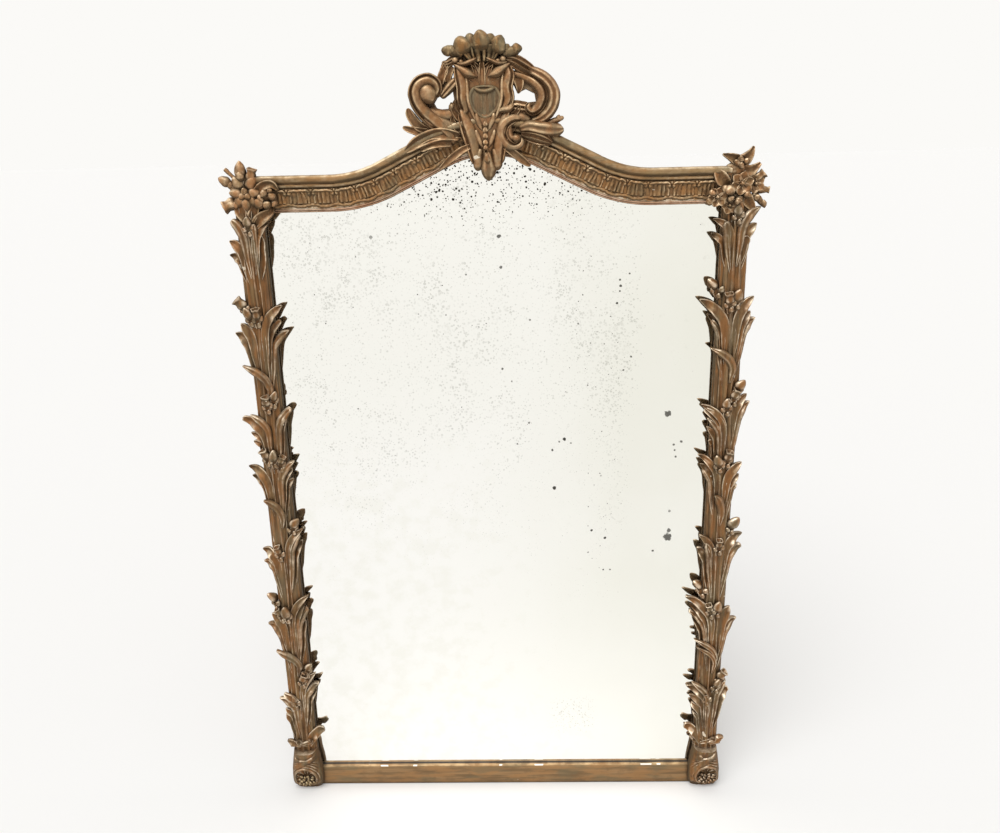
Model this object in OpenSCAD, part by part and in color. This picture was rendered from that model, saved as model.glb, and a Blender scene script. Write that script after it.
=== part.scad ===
// Overmantel mirror: two palm-trunk stiles, an arched top rail with a pierced crest, a plain bottom rail.
// Units are millimetres. +Z is up, +Y points at the wall.
// The origin is the middle of the bottom rail's foot.
// Depths are counted from the back plane towards the viewer, so depth d lies at y = back_y - d.

/* [Frame] */
// Distance between the centre lines of the two stiles
stile_span = 700; // [640:1:760]
// Height of the sight line on the shoulders above the shelf
sight_h = 1000; // [950:1:1050]
// Height of the plain bottom rail
rail_h = 38; // [34:1:44]
// Thickness of stiles and rails, back to front
core_t = 24; // [22:1:28]
// Width of a stile
stile_w = 36; // [34:1:40]
// Height of the top rail above its sight line
top_rail_h = 46; // [42:1:50]
// How far the bottom rail's face stands proud of the stiles
rail_proud = 2; // [1:0.5:4]

/* [Rebates] */
// Width of the lip that covers the edge of the plate
lip_w = 8; // [6:1:10]
// Thickness of that lip
lip_t = 6; // [5:0.5:7]
// How much wider the rebate for the backboards is
board_ledge = 8; // [7:1:9]
// Depth of the rebate for the backboards
board_rebate_d = 8; // [7:0.5:9]

/* [Arch] */
// Half-width at which the shoulders turn up into the swan necks
shoulder_x = 230; // [225:1:240]
// Radius of a swan neck on the sight line
neck_r = 215; // [205:1:225]
// Radius of the crown on the sight line
crown_r = 137; // [130:1:145]
// Slope of the straight between neck and crown
neck_angle = 26; // [24:0.5:27]

/* [Plate and back] */
// Thickness of the mirror plate
plate_t = 5; // [4:0.5:6]
// Clearance round the plate and the backboards
plate_gap = 0.5; // [0.3:0.1:1]
// Thickness of the backboards
board_t = 7; // [6:0.5:7.5]
// Number of backboards
board_count = 3; // [3:1:3]
// Shrinkage gap between neighbouring backboards
board_gap = 0.6; // [0.4:0.1:1]
// Length of a glazing block
block_l = 40; // [30:1:50]

/* [Mouldings] */
// Width of the reeded cap moulding
cap_w = 18; // [16:1:20]
// Depth of the reeded cap moulding
cap_d = 18; // [17:0.5:20]
// Width of the sight bead
bead_w = 5; // [4:0.5:6]
// Width of the shadow groove under the cap moulding
groove_w = 4; // [3:0.5:5]
// Thickness of the carved band
band_t = 4; // [3:0.5:6]
// Length along the rail taken by one panel of the band
panel_pitch = 34; // [30:1:40]
// How far a panel stands out of the band
panel_t = 3; // [2:0.5:4]

/* [Trunks] */
// Width of a palm trunk
trunk_w = 40; // [38:1:44]
// Height of the trunk's straight side above the stile's face
trunk_side = 4; // [3:0.5:6]
// How far the trunk's round face rises above its sides
trunk_rise = 13; // [11:0.5:15]
// Number of reeds on a trunk
reed_count = 9; // [7:2:11]
// Depth of the grooves between reeds
reed_depth = 1.2; // [0.8:0.1:2]
// How far leaves stand off the trunk
leaf_lift = 3.5; // [3:0.5:5]
// How far leaf tips curl forward
leaf_curl = 5; // [3:0.5:8]

/* [Feet] */
// Height of a foot block
foot_h = 82; // [76:1:90]
// Half-width of a foot block at its widest
foot_half = 27; // [25:1:30]
// How far a foot block stands off the stile's face
foot_d = 20; // [18:1:24]

/* [Hangers] */
// Radius of the iron wire of a hanging ring
ring_wire_r = 2; // [1.8:0.1:2.4]
// Half-width of a hanging ring, to the middle of its wire
ring_half = 13; // [12:0.5:15]
// Length of a hanging ring's straight legs
ring_leg = 12; // [10:1:16]
// Running clearance of a ring in its rolled eye
ring_clear = 0.05; // [0.03:0.01:0.08]
// Thickness of the strap that holds a ring
strap_t = 1.5; // [1.2:0.1:1.8]
// Width of that strap
strap_w = 16; // [14:1:18]
// Length of that strap
strap_l = 52; // [48:1:60]
// Height of the rings' eyes, as a share of the sight line's height
hanger_share = 0.78; // [0.7:0.01:0.85]

/* [Fixings] */
// Radius of a backboard nail
nail_r = 0.9; // [0.8:0.1:1.2]
// Radius of a wood screw
screw_r = 2; // [1.8:0.1:2.2]
// Clearance of a nail or screw in its hole
hole_clear = 0.05; // [0.02:0.01:0.1]
// Clearance between carvings that don't touch
carving_gap = 0.3; // [0.2:0.1:0.5]

/* [Hidden] */
$fn = 96;

// Colours of the finishes
gilt = "darkgoldenrod";
pale_gilt = "burlywood";
bare_pine = "tan";
iron = "dimgray";
silvering = "lightcyan";

// Frame
back_y = core_t / 2;
trunk_x = stile_span / 2;
trunk_overhang = 2;
sight_x = trunk_x - trunk_w / 2 + trunk_overhang;
stile_top = sight_h + top_rail_h;
lip_d = core_t - lip_t;
plate_back_d = lip_d - plate_t;
board_w = lip_w + board_ledge;
tenon_l = 24;
tenon_t = 8;
tenon_d = 9;
bottom_tenon = [5, 20];
top_tenon = [20, 38];
mortise_clear = 0.1;

// Arch: points where the curves meet on the sight line
neck_end_x = shoulder_x - neck_r * sin(neck_angle);
neck_end_z = sight_h + neck_r * (1 - cos(neck_angle));
crown_end_x = crown_r * sin(neck_angle);
slope_l = (neck_end_x - crown_end_x) / cos(neck_angle);
crown_end_z = neck_end_z + slope_l * sin(neck_angle);
crown_z = crown_end_z - crown_r * cos(neck_angle);
sight_apex_z = crown_z + crown_r;
arc_steps = 12;
sweep_steps = 6;

// Mouldings, as offsets from the sight line
band_top_u = top_rail_h + 6 - cap_w - groove_w;
cap_u = band_top_u + groove_w;
outer_u = cap_u + cap_w;
cap_front_d = core_t + cap_d;
moulding_end_x = trunk_x - trunk_w / 2;
band_mid_u = (bead_w + band_top_u) / 2;

// Crest
crest_land = 18;
crest_seat_z = sight_apex_z + top_rail_h - crest_land;
batten_t = 6;
batten_w = 30;
batten_up = 90;

// Trunks
trunk_edge_d = core_t + trunk_side;
trunk_front_d = trunk_edge_d + trunk_rise;
reed_flat = [0.15, 0.85];
leaf_bed = 2.5;
leaf_edge = 2;
leaf_spans = 4;

// Hangers
eye_r = 4;
eye_y = 4;
hanger_z = sight_h * hanger_share;
hanger_x = trunk_x + trunk_w / 2 - trunk_overhang - strap_w / 2 - 4;
eye_l = 14;
strap_screw_drops = [16, 40];
strap_screw_l = 16;
head_r = 4;
head_t = 1.4;

// ---------- Placing ----------

// Moves a piece from depth-counted space to the part's own frame.
module placed() translate([0, back_y, 0]) children();

// Stands a plan drawn as (x, depth) up from z = low to z = high.
module upright(low, high) translate([0, 0, low]) mirror([0, 1, 0]) linear_extrude(high - low) children();

// Gives a front outline drawn as (x, z) the depths from near the wall to far.
module facing(from_d, to_d)
    translate([0, -from_d, 0]) rotate([90, 0, 0]) linear_extrude(to_d - from_d) children();

// Draws a piece on the left as it is drawn for the right.
module both_sides() { children(); mirror([1, 0, 0]) children(); }

// ---------- The arch ----------

// Height of the line at offset u over the sight line, at a distance x from the middle.
function arch_z(x, u) =
    let (
        a = abs(x),
        neck_x = shoulder_x - (neck_r - u) * sin(neck_angle),
        crown_x = (crown_r + u) * sin(neck_angle)
    )
    a >= shoulder_x ? sight_h + u
    : a >= neck_x ? sight_h + neck_r - sqrt(pow(neck_r - u, 2) - pow(shoulder_x - a, 2))
    : a >= crown_x ? crown_z + (crown_r + u) * cos(neck_angle) + (crown_x - a) * tan(neck_angle)
    : crown_z + sqrt(pow(crown_r + u, 2) - a * a);

// Points of the line at offset u, from the middle to the shoulder.
function half_arch(u) = concat(
    [for (i = [0:arc_steps]) let (t = i * neck_angle / arc_steps)
        [(crown_r + u) * sin(t), crown_z + (crown_r + u) * cos(t)]],
    [for (i = [arc_steps:-1:0]) let (t = i * neck_angle / arc_steps)
        [shoulder_x - (neck_r - u) * sin(t), sight_h + neck_r - (neck_r - u) * cos(t)]]
);

function reversed(list) = [for (i = [len(list) - 1:-1:0]) list[i]];
function mirrored(list) = [for (p = reversed(list)) [-p[0], p[1]]];

// Closed outline from z = low up to the line at offset u, with straight sides at x = side.
function arched_outline(side, low, u) = concat(
    [[-side, low], [-side, sight_h + u]], mirrored(half_arch(u)),
    half_arch(u), [[side, sight_h + u], [side, low]]
);

// The line at offset u from x = -end to x = end.
function arch_line(u, end) = concat(
    [[-end, sight_h + u]], mirrored(half_arch(u)), half_arch(u), [[end, sight_h + u]]
);

// Front outline of a strip between two offsets.
function strip(low_u, high_u, end) = concat(arch_line(high_u, end), reversed(arch_line(low_u, end)));

// Stations of a sweep along the sight line, as [x, z, tilt], from right to left.
function right_stations(end) = concat(
    [[end, sight_h, 0]],
    [for (i = [0:sweep_steps]) let (t = i * neck_angle / sweep_steps)
        [shoulder_x - neck_r * sin(t), sight_h + neck_r * (1 - cos(t)), t]],
    [for (i = [sweep_steps:-1:1]) let (t = i * neck_angle / sweep_steps)
        [crown_r * sin(t), crown_z + crown_r * cos(t), t]]
);
function stations(end) = concat(
    right_stations(end), [[0, sight_apex_z, 0]],
    [for (s = reversed(right_stations(end))) [-s[0], s[1], -s[2]]]
);

// One closed sweep of a section drawn as (offset, depth), out to x = end.
module swept(section, end) {
    places = stations(end);
    n = len(section);
    last = n * (len(places) - 1);
    polyhedron(
        points = [for (s = places, q = section) [s[0] + q[0] * sin(s[2]), -q[1], s[1] + q[0] * cos(s[2])]],
        faces = concat(
            [[for (i = [0:n - 1]) i]], [[for (i = [n - 1:-1:0]) last + i]],
            [for (j = [0:len(places) - 2], i = [0:n - 1])
                let (a = j * n + i, b = j * n + (i + 1) % n) [a, a + n, b + n, b]]
        )
    );
}

// Place and slope of the band at a distance run inwards from its outer end, on the right.
neck_run = (neck_r - band_mid_u) * neck_angle * PI / 180;
flat_run = moulding_end_x - shoulder_x;
function band_place(run) =
    run <= flat_run ? [moulding_end_x - run, sight_h + band_mid_u, 0]
    : run <= flat_run + neck_run
        ? let (r = neck_r - band_mid_u, t = (run - flat_run) / r * 180 / PI)
          [shoulder_x - r * sin(t), sight_h + neck_r - r * cos(t), t]
    : run <= flat_run + neck_run + slope_l
        ? let (s = run - flat_run - neck_run, x = shoulder_x - (neck_r - band_mid_u) * sin(neck_angle))
          [x - s * cos(neck_angle), arch_z(x - s * cos(neck_angle), band_mid_u), neck_angle]
    : let (
        t = neck_angle - (run - flat_run - neck_run - slope_l) / (crown_r + band_mid_u) * 180 / PI
      ) [(crown_r + band_mid_u) * sin(t), crown_z + (crown_r + band_mid_u) * cos(t), t];

// ---------- Structure ----------

module rebate_cut(low, high, low_board, high_board) {
    translate([0, 0, low]) mirror([0, 1, 0]) translate([-1, -1, 0]) cube([lip_w + 1, lip_d + 1, high - low]);
    translate([0, 0, low_board]) mirror([0, 1, 0]) translate([-1, -1, 0])
        cube([board_w + 1, board_rebate_d + 1, high_board - low_board]);
}

module mortise(range, base_z) {
    translate([-1, -tenon_d - tenon_t, base_z + range[0]])
        cube([tenon_l + 2, tenon_t, range[1] - range[0]]);
}

// The right stile, with its sight edge at x = 0; the left one mirrors it.
module stile_stick() {
    difference() {
        upright(0, stile_top) square([stile_w, core_t]);
        rebate_cut(rail_h - lip_w, sight_h + lip_w, rail_h - board_w, sight_h + board_w);
        mortise(bottom_tenon, 0);
        mortise(top_tenon, sight_h);
        hanger_pilots();
    }
}

module hanger_pilots()
    for (drop = strap_screw_drops)
        translate([hanger_x - sight_x, 0, hanger_z - drop]) rotate([90, 0, 0]) translate([0, 0, -1])
            cylinder(r = screw_r + hole_clear, h = strap_screw_l + 1);

module right_stile() color(bare_pine) placed() difference() {
    translate([sight_x, 0, 0]) stile_stick();
    nail_holes();
}

module left_stile() color(bare_pine) placed() difference() {
    mirror([1, 0, 0]) translate([sight_x, 0, 0]) stile_stick();
    nail_holes();
}

module bottom_rail() color(gilt) placed() difference() {
    union() {
        difference() {
            translate([-sight_x, -core_t - rail_proud, 0]) cube([2 * sight_x, core_t + rail_proud, rail_h]);
            translate([-sight_x - 1, -lip_d, rail_h - lip_w]) cube([2 * sight_x + 2, lip_d + 1, lip_w + 1]);
            translate([-sight_x - 1, -board_rebate_d, rail_h - board_w])
                cube([2 * sight_x + 2, board_rebate_d + 1, board_w + 1]);
        }
        both_sides() translate([sight_x - 1, -tenon_d - tenon_t, bottom_tenon[0]])
            cube([tenon_l + 1, tenon_t, bottom_tenon[1] - bottom_tenon[0]]);
    }
    nail_holes();
}

// The rail in three layers: behind its backboards, beside its plate, and the lip in front of the plate.
module top_rail_layers() {
    facing(0, core_t) polygon(strip(board_w, top_rail_h, sight_x));
    facing(board_rebate_d, core_t) polygon(strip(lip_w, board_w, sight_x));
    facing(lip_d, core_t) polygon(strip(0, lip_w, sight_x));
}

module top_rail() color(bare_pine) placed() difference() {
    union() {
        top_rail_layers();
        both_sides() translate([sight_x - 1, -tenon_d - tenon_t, sight_h + top_tenon[0]])
            cube([tenon_l + 1, tenon_t, top_tenon[1] - top_tenon[0]]);
    }
    translate([-crown_r, -core_t - 1, crest_seat_z]) cube([2 * crown_r, core_t + 2, 2 * crest_land]);
    translate([-batten_w / 2, -batten_t, sight_apex_z]) cube([batten_w, batten_t + 1, top_rail_h]);
    batten_screw_holes(screw_r + hole_clear);
    nail_holes();
}

// ---------- Mouldings ----------

// Three round reeds on a half-round, standing on two straight sides.
reed_r = cap_w / 6;
reed_arc = [72, 36, 0, -36, -72];
cap_centre = [cap_u + cap_w / 2, cap_front_d - cap_w / 2];
cap_section = concat(
    [[cap_u, core_t]],
    [for (a = [150, 90, 30], turn = reed_arc)
        cap_centre + 2 * reed_r * [cos(a), sin(a)] + reed_r * [cos(a + turn), sin(a + turn)]],
    [[cap_u + cap_w, core_t]]
);

module cap_moulding() color(pale_gilt) placed() swept(cap_section, moulding_end_x);

module carved_band() color(gilt) placed() facing(core_t, core_t + band_t)
    polygon(strip(bead_w, band_top_u, moulding_end_x));

panel_space = 4;
module band_panels() color(gilt) placed() {
    panel_l = panel_pitch - panel_space;
    panel_h = band_top_u - bead_w - panel_space - 1;
    count = floor((flat_run + neck_run + slope_l) / panel_pitch);
    both_sides() for (i = [0:count - 1]) {
        place = band_place((i + 0.5) * panel_pitch);
        translate([place[0], -core_t - band_t, place[1]]) rotate([0, place[2], 0]) panel(panel_l, panel_h);
    }
}

// A raised panel: a flat tablet with a lobe at each corner.
module panel(length, height) rotate([90, 0, 0]) linear_extrude(panel_t) {
    lobe = height / 4;
    square([length - 2 * lobe, 0.8 * height], center = true);
    for (sx = [-1, 1], sz = [-1, 1]) translate([sx * (length / 2 - lobe), sz * lobe]) circle(r = 0.9 * lobe);
}

// Two steps: a fillet with a narrower fillet on it.
module sight_bead() color(pale_gilt) placed() {
    facing(core_t, core_t + bead_w / 2) polygon(strip(0, bead_w, moulding_end_x));
    facing(core_t + bead_w / 2, core_t + bead_w) polygon(strip(0.2 * bead_w, 0.8 * bead_w, moulding_end_x));
}

// ---------- Trunks and feet ----------

function trunk_face(x) =
    abs(x) >= trunk_w / 2 ? trunk_edge_d : trunk_edge_d + trunk_rise * sqrt(1 - pow(2 * x / trunk_w, 2));

function trunk_corner(i) =
    let (t = 180 * i / reed_count) [trunk_w / 2 * cos(t), trunk_edge_d + trunk_rise * sin(t)];

function trunk_groove(i) =
    let (p = trunk_corner(i), c = [0, trunk_edge_d]) p - reed_depth * (p - c) / norm(p - c);

function trunk_outline() = concat(
    [[trunk_w / 2, core_t]], [for (i = [0:reed_count]) trunk_corner(i)], [[-trunk_w / 2, core_t]]
);

function reeded_outline() = concat(
    [[trunk_w / 2, core_t], trunk_corner(0)],
    [for (i = [0:reed_count - 1], k = [0:2])
        let (p = trunk_corner(i), q = trunk_corner(i + 1))
        if (k < 2 || i < reed_count - 1) k < 2 ? p + reed_flat[k] * (q - p) : trunk_groove(i + 1)],
    [trunk_corner(reed_count), [-trunk_w / 2, core_t]]
);

module trunk(side) color(gilt) placed() translate([side * trunk_x, 0, 0])
    upright(foot_h, stile_top) polygon(reeded_outline());

module left_trunk() trunk(-1);
module right_trunk() trunk(1);

// A foot block: its front outline and its plan, both tapered, give a bulbous block with a flat face.
// The foot block, housed at its back over the end of the rail's proud face.
module foot(side) color(gilt) placed() difference() {
    translate([side * trunk_x, 0, 0]) intersection() {
        facing(core_t, core_t + foot_d) polygon(concat(foot_edge(1), reversed(foot_edge(-1))));
        upright(0, foot_h) polygon([
            [-foot_half, core_t], [foot_half, core_t], [foot_half, core_t + foot_d / 2],
            [foot_half / 2, core_t + foot_d], [-foot_half / 2, core_t + foot_d], [-foot_half, core_t + foot_d / 2]
        ]);
    }
    translate([-sight_x, -core_t - rail_proud, -1]) cube([2 * sight_x, rail_proud + 1, rail_h + 1]);
}

function foot_edge(sign) = [
    [sign * 0.8 * foot_half, 0], [sign * 0.96 * foot_half, 0.1 * foot_h], [sign * foot_half, 0.28 * foot_h],
    [sign * 0.96 * foot_half, 0.5 * foot_h], [sign * trunk_w / 2, foot_h]
];

module left_foot() foot(-1);
module right_foot() foot(1);

module foot_rosette(side) color(pale_gilt) placed()
    translate([side * trunk_x, 0, 0.33 * foot_h]) flower(0, 0, foot_half / 2, foot_d, 5, 6, 0);

module left_foot_rosette() foot_rosette(-1);
module right_foot_rosette() foot_rosette(1);

// ---------- Carving ----------

// The solid between two ribs of five points each.
module span(a, b) hull() polyhedron(points = concat(a, b), faces = [[0, 1, 2, 3, 4], [9, 8, 7, 6, 5]]);

// A rib is [x, z, half-width, back, front], with its depths counted from the core's face.
function heading(path, i) =
    let (v = path[min(i + 1, len(path) - 1)] - path[max(i - 1, 0)]) [v[0], v[1]] / norm([v[0], v[1]]);

function rib(path, i) =
    let (
        p = path[i], h = heading(path, i), s = [-h[1], h[0]] * p[2],
        back = -core_t - p[3], edge = -core_t - p[3] - 0.45 * (p[4] - p[3])
    ) [
        [p[0] - s[0], back, p[1] - s[1]], [p[0] + s[0], back, p[1] + s[1]], [p[0] + s[0], edge, p[1] + s[1]],
        [p[0], -core_t - p[4], p[1]], [p[0] - s[0], edge, p[1] - s[1]]
    ];

// A tapering carved blade through a list of ribs.
module blade(path) for (i = [0:len(path) - 2]) span(rib(path, i), rib(path, i + 1));

// A bud or berry, at a place (x, z) and a depth over the core's face.
module bud(x, z, r, over) translate([x, -core_t - over, z]) sphere(r = r, $fn = 8);

// A flower: petals round a bud, lying at a depth over the core's face.
module flower(x, z, r, over, height, petals, turn) {
    for (k = [0:petals - 1]) {
        a = turn + 360 * k / petals;
        blade([
            [x, z, 0.2 * r, over, over + height],
            [x + 0.55 * r * cos(a), z + 0.55 * r * sin(a), 0.42 * r, over, over + height],
            [x + r * cos(a), z + r * sin(a), 0.25 * r, over, over + 0.7 * height]
        ]);
    }
    hull() bud(x, z, 0.3 * r, over + height - 1);
}

// ---------- Palm sprays ----------
// A leaf is [root x, root z, tip x, tip z, half-width], from the trunk's middle and the spray's foot.
// A bud is [x, z, radius]; each stands on a short stem.

function leaf_point(leaf, t) =
    let (
        a = [leaf[0], leaf[1]], c = [leaf[2], leaf[3]],
        b = [a[0] + 0.2 * (c[0] - a[0]), a[1] + 0.7 * (c[1] - a[1])]
    ) (1 - t) * (1 - t) * a + 2 * t * (1 - t) * b + t * t * c;

function leaf_side(leaf, t) =
    let (v = leaf_point(leaf, min(t + 0.1, 1)) - leaf_point(leaf, max(t - 0.1, 0))) [-v[1], v[0]] / norm(v);

widest_at = 0.6;
function leaf_width(t) =
    t < widest_at
        ? 0.6 + 0.4 * sin(90 * t / widest_at)
        : 1 - 0.75 * pow((t - widest_at) / (1 - widest_at), 1.5);

function leaf_rib(leaf, t) =
    let (
        m = leaf_point(leaf, t), s = leaf_side(leaf, t) * leaf[4] * leaf_width(t), a = m - s, b = m + s,
        curl = leaf_curl * pow(t, 3)
    ) [
        [a[0], -(trunk_face(a[0]) - leaf_bed + curl), a[1]],
        [b[0], -(trunk_face(b[0]) - leaf_bed + curl), b[1]],
        [b[0], -(trunk_face(b[0]) + leaf_edge + curl), b[1]],
        [m[0], -(trunk_face(m[0]) + leaf_lift + curl), m[1]],
        [a[0], -(trunk_face(a[0]) + leaf_edge + curl), a[1]]
    ];

module leaf(data, spans)
    for (i = [0:spans - 1]) span(leaf_rib(data, i / spans), leaf_rib(data, (i + 1) / spans));

stem_l = 28;
stem_w = 2.4;
module stemmed_bud(data) {
    leaf([0.3 * data[0], data[1] - stem_l, data[0], data[1], stem_w], 2);
    translate([data[0], -trunk_face(data[0]) - 0.5 * data[2], data[1]]) sphere(r = data[2], $fn = 8);
}

// A spray seated on the trunk's face, with its foot at a share of the trunk's height.
spray_reach = 200;
module spray(side, share, leaves, buds) color(gilt) placed()
    translate([side * trunk_x, 0, foot_h + share * (sight_h - foot_h)]) difference() {
        union() {
            for (data = leaves) leaf(data, leaf_spans);
            for (data = buds) stemmed_bud(data);
        }
        upright(-spray_reach, spray_reach) polygon(trunk_outline());
    }

module left_top_palm() spray(-1, 0.92, [
    [-6, 0, -34, 16, 5], [-4, 8, -32, 36, 6], [-8, 25, -24, 66, 6], [4, 6, 18, 44, 6],
    [2, 20, 29, 62, 6], [4, 30, 10, 60, 4]
], [[0, 62, 5]]);

module left_palm_1() spray(-1, 0.77, [
    [-5, 0, -39, 38, 6], [-4, 15, -29, 52, 6], [5, 0, 43, 40, 6], [4, 10, 32, 55, 5], [3, 25, 36, 78, 6]
], [[-24, 82, 7], [-14, 68, 6], [-1, 67, 6]]);

module left_palm_2() spray(-1, 0.62, [
    [3, 84, -33, 125, 8], [-6, 0, -43, 42, 6], [-5, 14, -30, 47, 5], [-9, -2, -32, 18, 4],
    [-11, -6, -30, 4, 3.5], [4, 5, 34, 56, 6], [5, 0, 28, 48, 5]
], [[0, 70, 6], [12, 78, 5]]);

module left_palm_3() spray(-1, 0.535, [
    [-6, 0, -42, 41, 6], [-7, -2, -38, 25, 5], [4, 4, 32, 48, 6], [5, 0, 27, 35, 5], [8, -2, 28, 18, 5]
], [[-11, 62, 6], [2, 60, 6], [13, 52, 5]]);

module left_palm_4() spray(-1, 0.38, [
    [0, 92, -22, 127, 8], [5, 25, 34, 73, 5], [4, 15, 28, 64, 6], [5, 5, 32, 53, 6],
    [-5, 10, -35, 40, 6], [-6, -2, -35, 18, 5]
], [[23, 85, 6], [-7, 40, 5]]);

module left_palm_5() spray(-1, 0.237, [
    [4, 30, 33, 85, 5], [5, 15, 26, 71, 6], [4, 8, 30, 61, 6], [5, 0, 25, 40, 6], [-4, 12, -32, 52, 6],
    [-6, 0, -40, 34, 6]
], [[-29, 80, 6], [-17, 58, 5], [-5, 58, 7]]);

module left_palm_6() spray(-1, 0.09, [
    [-2, 86, -31, 117, 8], [4, 25, 32, 72, 5], [4, 15, 36, 51, 6], [6, 5, 31, 38, 5],
    [-4, 10, -26, 33, 5], [-5, 0, -35, 23, 6], [-9, -19, -26, 3, 4], [-9, -30, -27, -10, 4]
], [[22, 85, 5], [12, 67, 6], [-7, 24, 4]]);

module left_base_leaves() spray(-1, 0.012, [
    [8, 0, 37, 30, 7], [-5, 0, -30, 6, 5], [-6, 2, 14, 14, 4], [8, 0, -8, 14, 4]
], []);

module right_top_palm() spray(1, 0.93, [
    [-4, 15, -33, 44, 5], [-6, 0, -35, 23, 5], [-3, 10, -17, 40, 6], [5, 5, 30, 37, 6],
    [3, 0, 16, 20, 5], [5, 20, 34, 60, 6]
], [[0, 56, 5]]);

module right_palm_1() spray(1, 0.78, [
    [-4, 10, -47, 66, 7], [-5, 0, -35, 44, 5], [-4, -3, -28, 36, 5], [5, 15, 33, 70, 6],
    [5, 5, 29, 48, 6], [6, 0, 37, 38, 6]
], [[-28, 88, 6], [-5, 68, 6], [7, 72, 6]]);

module right_palm_2() spray(1, 0.62, [
    [2, 105, -28, 140, 8], [5, 20, 32, 68, 5], [5, 8, 37, 56, 6], [-5, 10, -37, 52, 5],
    [-4, 0, -32, 45, 6], [-8, -6, -27, 30, 5], [-9, -14, -27, 16, 5], [-12, -16, -24, -5, 4]
], [[20, 83, 6], [12, 70, 6], [0, 55, 5]]);

module right_palm_3() spray(1, 0.525, [
    [-4, 10, -38, 58, 5], [-5, 2, -34, 42, 6], [-6, 0, -30, 33, 5], [4, 5, 31, 45, 6],
    [6, 0, 28, 25, 5], [10, -4, 24, 10, 4]
], [[-8, 50, 6], [7, 58, 6]]);

module right_palm_4() spray(1, 0.375, [
    [6, 94, -11, 131, 8], [6, 21, 39, 62, 6], [5, 5, 39, 41, 6], [-4, 20, -30, 59, 5],
    [-6, 0, -32, 36, 6], [-3, 10, -20, 48, 6]
], [[24, 81, 7], [1, 47, 5]]);

module right_palm_5() spray(1, 0.227, [
    [-4, 30, -47, 84, 6], [-4, 18, -40, 70, 6], [-5, 8, -40, 58, 5], [-6, 0, -34, 45, 5],
    [7, 12, 26, 68, 7], [6, 0, 39, 45, 6]
], [[-27, 104, 6], [-8, 67, 5], [5, 70, 6]]);

module right_palm_6() spray(1, 0.085, [
    [0, 100, -30, 137, 6], [2, 90, -26, 124, 6], [4, 10, 28, 57, 5], [5, 0, 33, 40, 6],
    [-4, 10, -38, 45, 6], [-3, 15, -30, 53, 5], [-5, 0, -33, 27, 6], [-7, -15, -29, 10, 5],
    [-8, -26, -26, -5, 4]
], [[19, 70, 6], [12, 55, 5], [-6, 30, 4]]);

module right_base_leaves() spray(1, 0.012, [
    [-8, 0, -38, 32, 7], [-5, 2, -33, 14, 5], [5, 0, 31, 8, 6], [-10, 0, 12, 14, 4]
], []);

// ---------- Corner flowers ----------
// Drawn from the trunk's middle and the stile's top; depths are over the core's face.

front_over = trunk_side + trunk_rise;

module corner(side) color(pale_gilt) placed() translate([side * trunk_x, 0, stile_top]) difference() {
    children();
    upright(-spray_reach, 0) polygon(trunk_outline());
    translate([side > 0 ? -spray_reach : trunk_w / 2, -cap_front_d - carving_gap, -spray_reach])
        cube([spray_reach - (side > 0 ? trunk_w / 2 : 0), cap_front_d + carving_gap,
            spray_reach + outer_u - top_rail_h + carving_gap]);
    translate([-spray_reach, -2 * cap_front_d, -spray_reach])
        cube([2 * spray_reach, 2 * cap_front_d, spray_reach - top_rail_h + 1]);
}

module left_corner_flowers() corner(-1) {
    flower(-7, -18, 19, front_over - 6, 10, 6, 20);
    flower(-9, 20, 9, front_over - 8, 10, 4, 45);
    flower(18, -26, 12, front_over - 2, 9, 5, 0);
    blade([[-8, -4, 6, 6, 20], [-8, 10, 7, 8, 20], [-9, 22, 6, 9, 19]]);
    blade([[-12, -8, 5, 6, 20], [-24, 0, 7, 8, 19], [-35, 5, 5, 10, 17]]);
    blade([[-12, 0, 3, 8, 18], [-22, 9, 3, 9, 16], [-31, 17, 3, 9, 15]]);
    blade([[-10, -24, 6, 5, 19], [-26, -30, 8, 6, 17], [-37, -34, 6, 7, 14]]);
    blade([[0, -6, 5, 8, 21], [6, 8, 7, 9, 20], [8, 16, 5, 9, 17]]);
    blade([[4, -26, 6, 8, 24], [18, -24, 6, 14, 26], [30, -22, 4, 18, 24]]);
}

module right_corner_flowers() corner(1) {
    flower(5, -18, 19, front_over - 6, 10, 6, 8);
    flower(-8, -28, 11, front_over - 1, 10, 5, 22);
    flower(-27, -33, 10, front_over + 1, 9, 5, 10);
    blade([[2, -6, 6, 6, 20], [0, 10, 7, 8, 20], [-2, 22, 6, 9, 19]]);
    blade([[-1, 15, 6, 7, 19], [-11, 18, 6, 8, 18], [-23, 21, 2, 8, 14]]);
    blade([[1, 13, 6, 7, 19], [10, 24, 6, 8, 18], [17, 31, 2, 8, 14]]);
    blade([[6, -4, 6, 6, 20], [18, 4, 6, 8, 18], [31, 12, 2, 8, 14]]);
    blade([[12, -14, 5, 5, 19], [26, -12, 6, 7, 17], [38, -8, 5, 7, 14]]);
    blade([[14, -22, 5, 5, 19], [30, -28, 5, 6, 16], [44, -30, 4, 6, 13]]);
    blade([[12, -26, 5, 5, 18], [28, -36, 5, 6, 15], [40, -40, 4, 6, 12]]);
    blade([[-4, -24, 6, 14, 26], [-18, -30, 6, 16, 27], [-30, -36, 4, 18, 25]]);
}

// ---------- Crest ----------
// Drawn from the middle and the land that the crest board stands on.

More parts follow.
